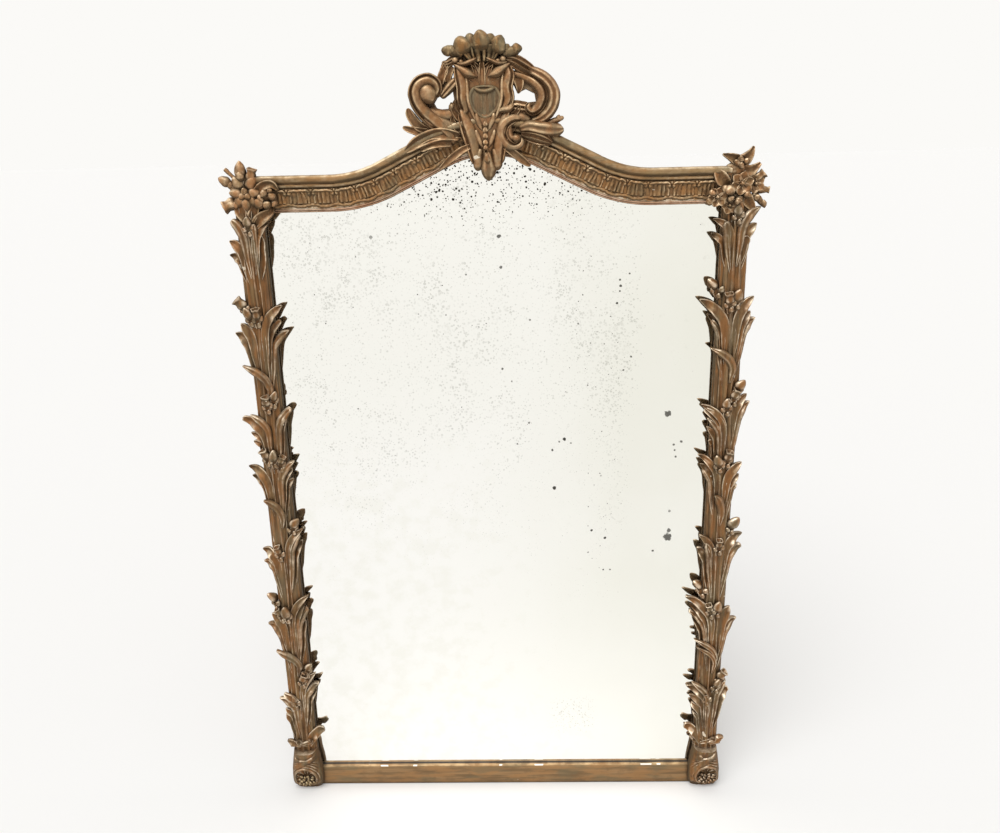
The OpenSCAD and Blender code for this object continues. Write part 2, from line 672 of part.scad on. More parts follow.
left_piercing = [[-50, 62], [-68, 58], [-77, 44], [-72, 35], [-56, 36], [-48, 48]];
right_piercing = [[33, 70], [40, 55], [52, 60], [64, 54], [66, 43], [44, 41], [34, 42]];
board_outline = [
    [-62, 0], [-72, 12], [-90, 26], [-102, 40], [-106, 55], [-102, 68], [-92, 76], [-74, 78],
    [-58, 72], [-43, 78], [-40, 100], [-34, 124], [20, 124], [26, 100], [30, 84], [46, 80], [62, 78],
    [78, 72], [88, 60], [90, 48], [86, 34], [76, 24], [66, 16], [60, 0]
];

module crest_at() color(pale_gilt) placed() translate([0, 0, crest_seat_z]) children();

module crest_board() crest_at() difference() {
    facing(batten_t, core_t) difference() {
        polygon(board_outline);
        polygon(left_piercing);
        polygon(right_piercing);
    }
    translate([0, 0, -crest_seat_z]) batten_screw_holes(screw_r + hole_clear);
}

// What the crest's carvings lap over: the rail and its mouldings, with a clearance.
module rail_keepout() translate([0, 0, -crest_seat_z])
    facing(-1, cap_front_d + carving_gap)
        polygon(arched_outline(shoulder_x, sight_h - top_rail_h, outer_u + carving_gap));

module crest_shell() crest_at() difference() {
    shell_shape();
    collar_shape();
    shield_shape();
    straps_shape();
    left_scroll_shape();
    right_scroll_shape();
}

module shell_shape() {
    for (lobe = [[-40, 122], [-29, 129], [-17, 133], [-5, 136], [7, 133], [18, 128], [27, 120]]) {
        root = -7 + 0.55 * (lobe[0] + 7);
        blade([
            [root, 99, 3.5, 0, 14], [(root + lobe[0]) / 2, 113, 5, 0, 20], [lobe[0], lobe[1] - 6, 6, 0, 22],
            [lobe[0], lobe[1], 3, 4, 16]
        ]);
    }
    blade([[-34, 106, 4, 0, 14], [-50, 109, 5, 2, 15], [-61, 110, 5, 4, 14]]);
    blade([[22, 106, 4, 0, 14], [38, 110, 5, 2, 15], [47, 110, 5.5, 4, 14]]);
}

module crest_collar() crest_at() difference() {
    collar_shape();
    shield_shape();
    straps_shape();
    left_scroll_shape();
    right_scroll_shape();
}

module collar_shape() {
    blade([[-40, 94, 4, 0, 14], [-28, 85, 5.5, 0, 20], [-14, 77, 3, 0, 18]]);
    blade([[24, 94, 4, 0, 14], [12, 83, 5.5, 0, 20], [0, 76, 3, 0, 18]]);
    blade([[-7, 98, 5, 0, 16], [-7, 84, 7, 0, 20], [-7, 68, 3, 0, 18]]);
    blade([[-24, 98, 5, 0, 14], [-20, 88, 5, 0, 17], [-14, 80, 3, 0, 15]]);
    blade([[10, 98, 5, 0, 14], [6, 88, 5, 0, 17], [2, 80, 3, 0, 15]]);
    blade([[-36, 98, 4, 0, 12], [-50, 96, 5, 0, 12], [-64, 96, 3, 0, 8]]);
    blade([[22, 98, 4, 0, 12], [34, 94, 5, 0, 12], [44, 97, 3, 0, 8]]);
}

module crest_left_scroll() crest_at() difference() {
    left_scroll_shape();
    shield_shape();
    straps_shape();
    rail_keepout();
}

module left_scroll_shape() {
    blade([
        [-44, 84, 5, 0, 12], [-58, 74, 6, 0, 14], [-70, 72, 7, 0, 16], [-82, 74, 8, 0, 18],
        [-94, 71, 9, 0, 20], [-101, 58, 9.5, 0, 20], [-98, 42, 9.5, 0, 20], [-86, 28, 9.5, 0, 18],
        [-70, 17, 10, 0, 16], [-54, 7, 9, 0, 14], [-42, 0, 6, 0, 12]
    ]);
    blade([[-44, 72, 3, 0, 12], [-58, 63, 4, 0, 14], [-72, 57, 5, 0, 16]]);
    blade([[-74, 26, 8, 0, 14], [-58, 24, 10, 0, 14], [-44, 36, 7, 0, 12]]);
    bud(-83, 57, 11, 10);
}

module crest_right_scroll() crest_at() difference() {
    right_scroll_shape();
    shield_shape();
    straps_shape();
    rail_keepout();
}

module right_scroll_shape() {
    blade([
        [33, 86, 5, 0, 12], [44, 84, 6, 0, 14], [60, 79, 7, 0, 16], [76, 71, 8.5, 0, 18],
        [86, 55, 9.5, 0, 20], [85, 38, 9.5, 0, 20], [76, 27, 9, 0, 18], [63, 21, 8, 0, 16],
        [54, 28, 6, 0, 14]
    ]);
    blade([[32, 76, 4, 0, 12], [40, 66, 5.5, 0, 14], [44, 55, 5, 0, 13]]);
    blade([[42, 64, 4, 0, 12], [54, 65, 5, 0, 14], [66, 60, 4, 0, 12]]);
    blade([[28, 38, 6, 0, 12], [42, 34, 7, 0, 13], [58, 24, 7, 0, 12]]);
}

module crest_shield() crest_at() difference() {
    shield_shape();
    husk_shape();
}

// The shield: its outline at the back and at its shoulder, and drawn in by a share of its size in front.
shield_outline = [[-22, 60], [-5, 64], [12, 60], [14, 45], [6, 30], [-5, 22], [-17, 30], [-24, 45]];
shield_middle = [-5, 44];
shield_depths = [0, 12, 18];
shield_drawn_in = [1, 1, 0.6];
module shield_shape() {
    hull() polyhedron(
        points = [for (i = [0:2], p = shield_outline)
            let (q = shield_middle + shield_drawn_in[i] * (p - shield_middle))
            [q[0], -core_t - shield_depths[i], q[1]]],
        faces = [[0, 1, 2, 3, 4, 5, 6, 7], [15, 14, 13, 12, 11, 10, 9, 8], [16, 17, 18, 19, 20, 21, 22, 23]]
    );
}

module crest_straps() crest_at() difference() {
    straps_shape();
    shield_shape();
    husk_shape();
    rail_keepout();
}

module straps_shape() {
    blade([
        [-44, 96, 5, 0, 12], [-41, 80, 6, 0, 16], [-38, 62, 6, 0, 16], [-38, 44, 6, 0, 14],
        [-34, 26, 6.5, 0, 16], [-28, 8, 7, 0, 20], [-23, -12, 7, 6, 26], [-20, -32, 6, 14, 28],
        [-19, -41, 3, 16, 24]
    ]);
    blade([
        [27, 94, 5, 0, 12], [30, 78, 6, 0, 16], [27, 62, 6, 0, 16], [27, 44, 6, 0, 14],
        [24, 26, 6.5, 0, 16], [19, 8, 7, 0, 20], [15, -12, 7, 6, 26], [13, -32, 6, 14, 28],
        [14, -41, 3, 16, 24]
    ]);
}

module crest_husk_drop() crest_at() difference() {
    husk_shape();
    rail_keepout();
}

module husk_shape() {
    blade([
        [-5, 26, 4, 0, 18], [-5, 12, 7, 0, 22], [-5, 0, 6, 0, 24], [-5, -14, 7, 4, 28],
        [-4, -34, 7.5, 14, 31], [-3, -50, 6, 16, 30], [-3, -61, 2.5, 17, 25]
    ]);
    for (bead = [[12, 5], [-1, 4.5], [-13, 4.5]]) bud(-5, bead[0], bead[1], 22 - 0.2 * bead[0]);
}

module crest_left_leaves() crest_at() difference() {
    union() {
        blade([[-80, 4, 5, 0, 10], [-100, 20, 6, 0, 12], [-110, 34, 4, 1, 10], [-114, 39, 2, 2, 8]]);
        blade([[-72, 4, 5, 0, 12], [-100, 8, 5, 0, 14], [-122, 12, 2, 4, 12]]);
        blade([[-40, -4, 6, 0, 24], [-72, 0, 9, 0, 27], [-98, -8, 8, 0, 26], [-118, -20, 3, 6, 23]]);
        blade([[-24, -16, 4, 16, 27], [-45, -26, 6, 18, 29], [-62, -37, 5, 18, 28], [-70, -41, 3, 18, 24]]);
    }
    left_scroll_shape();
    straps_shape();
    husk_shape();
    rail_keepout();
}

module crest_right_leaves() crest_at() difference() {
    union() {
        blade([[24, 3, 6, 0, 20], [45, 13, 9, 0, 26], [72, 7, 9, 0, 26], [98, -2, 4, 6, 23]]);
        blade([[30, -8, 6, 0, 24], [60, -7, 8, 10, 27], [84, -11, 4, 14, 24]]);
        blade([[76, 10, 4, 0, 14], [94, 18, 4, 4, 14], [106, 22, 2, 6, 12]]);
        blade([[20, -18, 4, 16, 27], [36, -30, 6, 18, 29], [50, -38, 6, 18, 28], [57, -42, 3, 18, 24]]);
        bud(37, -9, 5, 26);
    }
    right_scroll_shape();
    straps_shape();
    husk_shape();
    rail_keepout();
}

batten_screw_z = [-6, 14, 44, 74];
wood_screw_l = 15;
module batten_screw_holes(r)
    for (z = batten_screw_z) translate([0, 0, crest_seat_z + z]) rotate([90, 0, 0])
        translate([0, 0, -1]) cylinder(r = r, h = wood_screw_l + 2);

module crest_batten() color(bare_pine) placed() difference() {
    translate([-batten_w / 2, -batten_t, sight_apex_z + board_w])
        cube([batten_w, batten_t, crest_seat_z + batten_up - sight_apex_z - board_w]);
    batten_screw_holes(screw_r + hole_clear);
    for (z = batten_screw_z) translate([0, 0, crest_seat_z + z]) countersink(head_r + hole_clear);
}

// A cone that widens to the back plane.
countersink_d = 2;
module countersink(r) rotate([90, 0, 0]) cylinder(r1 = r, r2 = screw_r, h = countersink_d + 0.2);

// A countersunk screw driven from the back plane.
module wood_screw() {
    rotate([90, 0, 0]) cylinder(r = screw_r, h = wood_screw_l);
    rotate([90, 0, 0]) cylinder(r1 = head_r, r2 = screw_r, h = countersink_d);
}

module crest_batten_screws() color(iron) placed()
    for (z = batten_screw_z) translate([0, 0, crest_seat_z + z]) wood_screw();

// ---------- Plate and back ----------

module mirror_plate() color(silvering) placed() facing(plate_back_d, lip_d)
    polygon(arched_outline(sight_x + lip_w - plate_gap, rail_h - lip_w, lip_w - plate_gap));

board_span = sight_x + board_w - plate_gap;
module backboard(i) color(bare_pine) placed() difference() {
    each_w = (2 * board_span - (board_count - 1) * board_gap) / board_count;
    facing(board_rebate_d - board_t, board_rebate_d) intersection() {
        polygon(arched_outline(board_span, rail_h - board_w, board_w - plate_gap));
        translate([-board_span + i * (each_w + board_gap), 0]) square([each_w, 2 * sight_h]);
    }
    nail_holes();
}

module left_backboard() backboard(0);
module middle_backboard() backboard(1);
module right_backboard() backboard(2);

// Nails stand in the middle of the ledge, round the edge of the backboards.
nail_u = lip_w + board_ledge / 2;
nail_l = 14;
nail_head_r = 2.2;
nail_head_t = 0.8;
nail_shares = [0.18, 0.45, 0.92];
nail_places = concat(
    [for (side = [-1, 1], share = nail_shares) [side * share * sight_x, rail_h - nail_u]],
    [for (side = [-1, 1], share = nail_shares) [side * share * sight_x, arch_z(share * sight_x, nail_u)]],
    [for (side = [-1, 1], share = [0.25, 0.5, 0.72]) [side * (sight_x + nail_u), share * sight_h]]
);

module nail_holes()
    for (p = nail_places) translate([p[0], 0, p[1]]) rotate([90, 0, 0])
        translate([0, 0, -1]) cylinder(r = nail_r + hole_clear, h = board_rebate_d - board_t + nail_l + 1);

module backboard_nails() color(iron) placed()
    for (p = nail_places) translate([p[0], -(board_rebate_d - board_t), p[1]]) rotate([90, 0, 0]) {
        cylinder(r = nail_r, h = nail_l - 1);
        translate([0, 0, -nail_head_t]) cylinder(r = nail_head_r, h = nail_head_t);
    }

// Softwood blocks behind the plate, between it and the backboards, against the side of its rebate.
block_w = 12;
module block_at(x, z, length, across) facing(board_rebate_d, plate_back_d) translate([x, z])
    square(across ? [length, block_w] : [block_w, length]);

module glazing_blocks() color(bare_pine) placed() {
    for (share = [-0.7, 0, 0.7]) block_at(share * sight_x - block_l / 2, rail_h - lip_w, block_l, true);
    both_sides() for (share = [0.2, 0.5, 0.8])
        block_at(sight_x + lip_w - block_w, share * sight_h, block_l, false);
    both_sides() block_at(shoulder_x + 20, sight_h + lip_w - block_w, block_l, true);
}

// ---------- Hangers ----------

module hanger_strap(side) color(iron) placed() translate([side * hanger_x, 0, hanger_z]) difference() {
    union() {
        translate([-strap_w / 2, 0, -strap_l]) cube([strap_w, strap_t, strap_l]);
        translate([-eye_l / 2, eye_y, 0]) rotate([0, 90, 0]) cylinder(r = eye_r, h = eye_l);
        translate([-eye_l / 2, 0, -eye_r]) cube([eye_l, eye_y, eye_r]);
    }
    translate([-eye_l, eye_y, 0]) rotate([0, 90, 0]) cylinder(r = ring_wire_r + ring_clear, h = 2 * eye_l);
    for (drop = strap_screw_drops) translate([0, strap_t, -drop]) rotate([90, 0, 0]) {
        translate([0, 0, -1]) cylinder(r = screw_r + hole_clear, h = strap_t + 2);
        translate([0, 0, -0.01]) cylinder(r1 = head_r, r2 = screw_r, h = head_t);
    }
}

module left_hanger_strap() hanger_strap(-1);
module right_hanger_strap() hanger_strap(1);

module hanger_screws() color(iron) placed()
    for (side = [-1, 1], drop = strap_screw_drops)
        translate([side * hanger_x, strap_t, hanger_z - drop]) rotate([90, 0, 0]) {
            cylinder(r = screw_r, h = strap_screw_l);
            cylinder(r1 = head_r - hole_clear, r2 = screw_r, h = head_t - hole_clear);
        }

// A hanging ring: a straight bar in the eye, two legs and a half-round bow, hanging down.
module ring(side) color(iron) placed() translate([side * hanger_x, eye_y, hanger_z]) {
    translate([-ring_half, 0, 0]) rotate([0, 90, 0]) cylinder(r = ring_wire_r, h = 2 * ring_half);
    for (sx = [-1, 1]) {
        translate([sx * ring_half, 0, 0]) sphere(r = ring_wire_r);
        translate([sx * ring_half, 0, -ring_leg]) cylinder(r = ring_wire_r, h = ring_leg);
    }
    translate([0, 0, -ring_leg]) rotate([90, 0, 0]) rotate([0, 0, 180])
        rotate_extrude(angle = 180) translate([ring_half, 0]) circle(r = ring_wire_r);
}

module left_ring() ring(-1);
module right_ring() ring(1);

// ---------- What is drawn ----------

left_stile();
right_stile();
bottom_rail();
top_rail();
left_trunk();
right_trunk();
left_foot();
right_foot();
left_foot_rosette();
right_foot_rosette();
left_top_palm();
left_palm_1();
left_palm_2();
left_palm_3();
left_palm_4();
left_palm_5();
left_palm_6();
left_base_leaves();
right_top_palm();
right_palm_1();
right_palm_2();
right_palm_3();
right_palm_4();
right_palm_5();
right_palm_6();
right_base_leaves();
left_corner_flowers();
right_corner_flowers();
cap_moulding();
carved_band();
band_panels();
sight_bead();
crest_board();
crest_shell();
crest_collar();
crest_left_scroll();
crest_right_scroll();
crest_shield();
crest_straps();
crest_husk_drop();
crest_left_leaves();
crest_right_leaves();
crest_batten();
crest_batten_screws();
mirror_plate();
glazing_blocks();
left_backboard();
middle_backboard();
right_backboard();
backboard_nails();
left_hanger_strap();
right_hanger_strap();
left_ring();
right_ring();
hanger_screws();
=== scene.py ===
"""Dresses the overmantel mirror: carved and gilded wood, old silvered glass, floor, light and camera.

Carving is measured in millimetres: x across, z up, and depth out from the wall the mirror hangs on.
"""

import logging
import math
from dataclasses import dataclass
from enum import Enum
from functools import partial, reduce
from typing import Callable, Iterable, Sequence

import bmesh
import bpy
from mathutils import Euler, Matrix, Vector, noise


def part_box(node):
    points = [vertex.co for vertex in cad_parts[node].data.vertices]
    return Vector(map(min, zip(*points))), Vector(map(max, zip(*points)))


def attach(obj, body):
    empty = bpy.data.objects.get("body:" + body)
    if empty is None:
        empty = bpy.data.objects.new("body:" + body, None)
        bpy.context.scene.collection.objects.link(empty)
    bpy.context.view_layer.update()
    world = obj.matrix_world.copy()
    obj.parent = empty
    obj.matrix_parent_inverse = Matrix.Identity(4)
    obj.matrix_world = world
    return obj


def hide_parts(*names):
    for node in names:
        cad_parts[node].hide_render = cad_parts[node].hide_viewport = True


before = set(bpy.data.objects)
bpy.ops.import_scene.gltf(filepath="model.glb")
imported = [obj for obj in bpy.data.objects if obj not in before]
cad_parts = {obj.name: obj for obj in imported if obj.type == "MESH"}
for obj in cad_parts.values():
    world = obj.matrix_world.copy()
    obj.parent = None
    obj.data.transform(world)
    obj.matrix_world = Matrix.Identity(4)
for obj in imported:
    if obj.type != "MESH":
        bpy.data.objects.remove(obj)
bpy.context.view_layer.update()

MM = 0.001
FRAME_BODY = "frame"
SEAM = 0.002
CREASE = math.radians(65)
GOLDEN_ANGLE = 137.5
LONE_FROM = 80.0
LOG = logging.getLogger("overmantel")

Rib = tuple[float, ...]
Place = Callable[[float, float], Vector]
Triple = tuple[float, float, float]
Colour = Triple
Pattern = Triple
Socket = bpy.types.NodeSocket
Finish = bpy.types.Material
Feed = float | Sequence[float] | Socket
Leaf = tuple[float, float, float, float, float]
Bud = Triple


# ---------- Small sums ----------


def clamp(value: float, low: float = 0.0, high: float = 1.0) -> float:
    """Keeps a number between two others."""
    return max(low, min(high, value))


def mixed(start: float, end: float, share: float) -> float:
    """Steps a share of the way from one number to another."""
    return start + (end - start) * share


def ease(value: float) -> float:
    """Smooth step from 0 to 1 over the same range."""
    share = clamp(value)
    return share * share * (3 - 2 * share)


def swell(distance: float, reach: float) -> float:
    """A rounded hill: 1 on its line and 0 from its reach on."""
    return math.sqrt(max(0.0, 1 - (distance / reach) ** 2))


def ripple(x: float, z: float, seed: float) -> float:
    """Smooth unevenness between -1 and 1."""
    return noise.noise(Vector((x, z, seed)))


def to_stroke(x: float, z: float, stroke: Sequence[float]) -> float:
    """Distance from a point to a straight stroke.

    Args:
        x: The point's place across.
        z: The point's height.
        stroke: Start x, start z, end x and end z.

    Returns:
        The shortest distance.
    """
    across, up = stroke[2] - stroke[0], stroke[3] - stroke[1]
    share = clamp(((x - stroke[0]) * across + (z - stroke[1]) * up) / (across**2 + up**2))
    return math.hypot(x - stroke[0] - share * across, z - stroke[1] - share * up)


class Line:
    """A smooth line through a list of ribs, each a tuple that starts with x and z."""

    def __init__(self, ribs: Sequence[Rib]) -> None:
        """Measures how far along the line each rib stands."""
        self.ribs = ribs
        steps = [math.hypot(b[0] - a[0], b[1] - a[1]) for a, b in zip(ribs, ribs[1:])]
        total = sum(steps)
        self.marks = [sum(steps[:i]) / total for i in range(len(ribs))]

    def rib(self, share: float) -> list[float]:
        """Gives the rib at a share of the line.

        Args:
            share: 0 at the first rib and 1 at the last.

        Returns:
            The blended numbers of the ribs near it.
        """
        last = len(self.ribs) - 1
        i = max(k for k in range(last) if self.marks[k] <= share + 1e-9)
        t = clamp((share - self.marks[i]) / (self.marks[i + 1] - self.marks[i]))
        around = [self.ribs[min(max(i + k, 0), last)] for k in (-1, 0, 1, 2)]
        return [
            0.5 * (2 * b + (c - a) * t + (2 * a - 5 * b + 4 * c - d) * t**2
                   + (3 * b - a - 3 * c + d) * t**3)
            for a, b, c, d in zip(*around)
        ]

    def heading(self, share: float) -> tuple[float, float]:
        """Gives the line's direction as an x and a z."""
        step = 0.02
        a, b = self.rib(max(share - step, 0)), self.rib(min(share + step, 1))
        length = math.hypot(b[0] - a[0], b[1] - a[1])
        return (b[0] - a[0]) / length, (b[1] - a[1]) / length


def rounded_ends(share: float, root: float, tip: float) -> float:
    """How much of its section a blade keeps, so that its ends close round.

    Args:
        share: Place along the blade.
        root: Share of the length that the root's rounding takes, or 0 for a cut root.
        tip: The same for the tip.

    Returns:
        A factor from 0 to 1.
    """
    if tip and share > 1 - tip:
        return math.sqrt(max(0.0, 1 - ((share - 1 + tip) / tip) ** 2))
    if root and share < root:
        return math.sqrt(max(0.0, 1 - ((root - share) / root) ** 2))
    return 1.0


class Relief(Enum):
    """How a blade's front is carved across."""

    ROUND = "round"
    CHANNEL = "channel"
    FLUTED = "fluted"
    DOUBLE = "double"
    LEFT_HOLLOW = "left hollow"
    RIGHT_HOLLOW = "right hollow"

    def height(self, side: float, lift: float) -> float:
        """Height of the front over the blade's edge, as a share of its full height.

        Args:
            side: Place across, from -1 to 1.
            lift: Height there of a plain round front.

        Returns:
            A share from 0 to 1.
        """
        if self is Relief.CHANNEL:
            return lift**0.45 * (1 - 0.78 * (1 - abs(side) ** 1.6))
        if self is Relief.FLUTED:
            return lift**0.6 * (0.76 + 0.24 * math.cos(3 * math.pi * (side + 1)))
        if self is Relief.DOUBLE:
            return lift**0.55 * (0.7 + 0.3 * abs(math.sin(math.pi * side)))
        if self is Relief.ROUND:
            return lift**0.85
        lean = side if self is Relief.LEFT_HOLLOW else -side
        return lift**0.6 * (1 - 0.5 * math.exp(-(((lean - 0.5) / 0.17) ** 2)))


ROUND, CHANNEL, FLUTED, DOUBLE, LEFT_HOLLOW, RIGHT_HOLLOW = Relief
Blade = tuple[Sequence[Rib], Relief]


# ---------- What the frame gives ----------


@dataclass(frozen=True)
class Bench:
    """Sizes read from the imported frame, in millimetres."""

    wall_y: float
    core_d: float
    trunk_x: float
    trunk_half: float
    foot_top: float
    stile_top: float
    sight_h: float
    crest_z: float
    rail_half: float
    rail_h: float
    rail_d: float

    @classmethod
    def measured(cls) -> "Bench":
        """Reads the sizes from the boxes of the frame's own nodes."""
        stile, trunk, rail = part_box("right_stile"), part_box("right_trunk"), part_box("bottom_rail")
        wall_y = stile[1].y / MM
        return cls(
            wall_y=wall_y,
            core_d=wall_y - stile[0].y / MM,
            trunk_x=(trunk[0].x + trunk[1].x) / 2 / MM,
            trunk_half=(trunk[1].x - trunk[0].x) / 2 / MM,
            foot_top=trunk[0].z / MM,
            stile_top=stile[1].z / MM,
            sight_h=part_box("sight_bead")[0].z / MM,
            crest_z=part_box("crest_board")[0].z / MM,
            rail_half=stile[0].x / MM,
            rail_h=rail[1].z / MM,
            rail_d=wall_y - rail[0].y / MM,
        )

    def spot(self, x: float, z: float, depth: float) -> Vector:
        """Turns a place across, a height and a depth from the wall into a point."""
        return Vector((x, self.wall_y - depth, z))


@dataclass(frozen=True)
class Arch:
    """The sight line of the top rail: flat shoulders, hollow necks, slopes and a round crown."""

    sight_h: float
    shoulder_x: float = 230.0
    neck_r: float = 215.0
    crown_r: float = 137.0
    slope: float = math.radians(26)
    slope_run: float = 84.2
    end_x: float = 330.0

    @property
    def neck_end_x(self) -> float:
        """Where the neck meets the slope."""
        return self.shoulder_x - self.neck_r * math.sin(self.slope)

    @property
    def crown_end_x(self) -> float:
        """Where the slope meets the crown."""
        return self.crown_r * math.sin(self.slope)

    def tilt(self, x: float) -> float:
        """Slope of the line at a distance from the middle, as an angle."""
        far = abs(x)
        if far >= self.shoulder_x:
            return 0.0
        if far >= self.neck_end_x:
            return math.asin((self.shoulder_x - far) / self.neck_r)
        if far >= self.crown_end_x:
            return self.slope
        return math.asin(far / self.crown_r)

    def height(self, x: float) -> float:
        """Height of the line at a distance from the middle."""
        far, tilt = abs(x), self.tilt(x)
        neck_rise = self.neck_r * (1 - math.cos(self.slope))
        if far >= self.neck_end_x:
            return self.sight_h + self.neck_r * (1 - math.cos(tilt))
        slope_rise = (self.neck_end_x - max(far, self.crown_end_x)) * math.tan(self.slope)
        crown_rise = 0.0
        if far < self.crown_end_x:
            crown_rise = self.crown_r * (math.cos(tilt) - math.cos(self.slope))
        return self.sight_h + neck_rise + slope_rise + crown_rise

    def at(self, x: float, offset: float) -> tuple[float, float]:
        """Gives the point at an offset outwards from the line.

        Args:
            x: Place across of the line's own point.
            offset: Distance out from it, square to the line.

        Returns:
            The point's x and z.
        """
        tilt = math.copysign(self.tilt(x), x)
        return x + offset * math.sin(tilt), self.height(x) + offset * math.cos(tilt)

    def run(self, x: float) -> float:
        """Length of the line from its outer end to a distance from the middle."""
        far, flat = abs(x), self.end_x - self.shoulder_x
        if far >= self.shoulder_x:
            return self.end_x - far
        if far >= self.neck_end_x:
            return flat + self.neck_r * self.tilt(x)
        run = flat + self.neck_r * self.slope
        if far >= self.crown_end_x:
            return run + (self.neck_end_x - far) / math.cos(self.slope)
        return run + self.slope_run + self.crown_r * (self.slope - self.tilt(x))


# ---------- The carver's tools ----------


class Carving:
    """One piece in the making, as a mesh of closed skins in millimetres."""

    def __init__(self, bench: Bench) -> None:
        """Starts an empty piece on the bench."""
        self.bench = bench
        self.mesh = bmesh.new()

    def skin(self, across: int, along: int, place: Place) -> None:
        """Wraps a grid round a line of sections and joins its seam.

        Args:
            across: Steps round a section.
            along: Steps along the line.
            place: Gives the point at a share round and a share along.
        """
        grid = bmesh.ops.create_grid(self.mesh, x_segments=across, y_segments=along, size=0.5)["verts"]
        for vert in grid:
            vert.co = place(vert.co.x + 0.5, vert.co.y + 0.5)
        bmesh.ops.remove_doubles(self.mesh, verts=grid, dist=SEAM)

    def blade(
        self,
        ribs: Sequence[Rib],
        relief: Relief = ROUND,
        tip: float = 0.14,
        root: float = 0.0,
        around: int = 28,
        along: int = 32,
    ) -> None:
        """Carves a tapering blade through ribs.

        Args:
            ribs: Each x, z, half-width, back depth and front depth, with an optional sideways slope.
            relief: How its front is carved.
            tip: Share of the length that rounds off at the tip.
            root: The same at the root.
            around: Steps round its section.
            along: Steps along it.
        """
        line = Line([rib if len(rib) > 5 else (*rib, 0.0) for rib in ribs])

        def place(round_share: float, share: float) -> Vector:
            """Point of the blade's skin."""
            x, z, half, back, front, slope = line.rib(share)
            head_x, head_z = line.heading(share)
            keep = rounded_ends(share, root, tip)
            turn = 2 * math.pi * round_share
            side, lift = math.cos(turn), math.sin(turn)
            middle = mixed(back, front, 0.42)
            if lift >= 0:
                depth = middle + (front - middle) * keep * relief.height(side, lift)
            else:
                depth = middle - (middle - back) * keep * abs(lift) ** 0.6
            out = side * half * keep
            x -= head_z * out
            return self.bench.spot(x, z + head_x * out, depth - slope * head_z * out)

        self.skin(around, along, place)

    def turned(
        self,
        base: Sequence[float],
        axis: Sequence[float],
        profile: Sequence[Rib],
        lobes: int = 0,
        lobe_depth: float = 0.12,
        around: int = 24,
        along: int = 22,
    ) -> None:
        """Turns a profile round an axis, with lobes that grow with its radius.

        Args:
            base: The axis's start as x, z and depth.
            axis: Its direction as x, z and depth.
            profile: Pairs of distance along the axis and radius.
            lobes: How many lobes it has, or 0.
            lobe_depth: Depth of a lobe as a share of the radius.
            around: Steps round it.
            along: Steps along the profile.
        """
        main = Vector((axis[0], axis[2], axis[1])).normalized()
        first = main.orthogonal().normalized()
        second = main.cross(first)
        line = Line(profile)
        widest = max(mark[1] for mark in profile)

        def place(round_share: float, share: float) -> Vector:
            """Point of the turned skin."""
            reach, radius = line.rib(share)
            turn = 2 * math.pi * round_share
            radius = max(radius, 0.0)
            radius *= 1 + lobe_depth * (radius / widest) * math.cos(lobes * turn) if lobes else 1
            if share in (0.0, 1.0) and profile[0 if share == 0.0 else -1][1] == 0:
                radius = 0.0
            point = main * reach + (first * math.cos(turn) + second * math.sin(turn)) * radius
            return self.bench.spot(base[0] + point.x, base[1] + point.z, base[2] + point.y)

        self.skin(around, along, place)

    def bud(self, x: float, z: float, depth: float, radius: float, lean: Sequence[float] = (0, 1, 0),
            stretch: float = 1.3, lobes: int = 0) -> None:
        """Carves a closed bud about its middle.

        Args:
            x: Its middle across.
            z: Its middle's height.
            depth: Its middle's depth.
            radius: Its largest radius.
            lean: The way it points, as x, z and depth.
            stretch: Half its length as a share of the radius.
            lobes: How many petals show on it, or 0.
        """
        long = radius * stretch
        unit = Vector(lean).normalized()
        base = [x - long * unit[0], z - long * unit[1], depth - long * unit[2]]
        profile = [(0, 0), (0.18 * long, 0.62 * radius), (0.75 * long, radius), (1.35 * long, 0.82 * radius),
                   (1.8 * long, 0.42 * radius), (2 * long, 0)]
        self.turned(base, unit, profile, lobes, 0.14)

    def bell(self, x: float, z: float, depth: float, radius: float, lean: Sequence[float],
             lobes: int = 4) -> None:
        """Carves a short tube of a flower with a hollow mouth.

        Args:
            x: Its middle across.
            z: Its middle's height.
            depth: Its middle's depth.
            radius: Its largest radius.
            lean: The way it points, as x, z and depth.
            lobes: How many petals show on it.
        """
        long = 2.5 * radius
        unit = Vector(lean).normalized()
        base = [x - 0.5 * long * unit[0], z - 0.5 * long * unit[1], depth - 0.5 * long * unit[2]]
        profile = [(0, 0), (0.05 * long, 0.6 * radius), (0.35 * long, 0.98 * radius), (0.7 * long, 0.84 * radius),
                   (0.95 * long, 1.02 * radius), (long, 0.84 * radius), (0.84 * long, 0.52 * radius),
                   (0.66 * long, 0)]
        self.turned(base, unit, profile, lobes, 0.16, 24, 26)

    def knob(self, x: float, z: float, depth: float, radius: float) -> None:
        """Carves a small round berry."""
        ball = bmesh.ops.create_uvsphere(self.mesh, u_segments=16, v_segments=10, radius=radius)["verts"]
        bmesh.ops.translate(self.mesh, verts=ball, vec=self.bench.spot(x, z, depth))

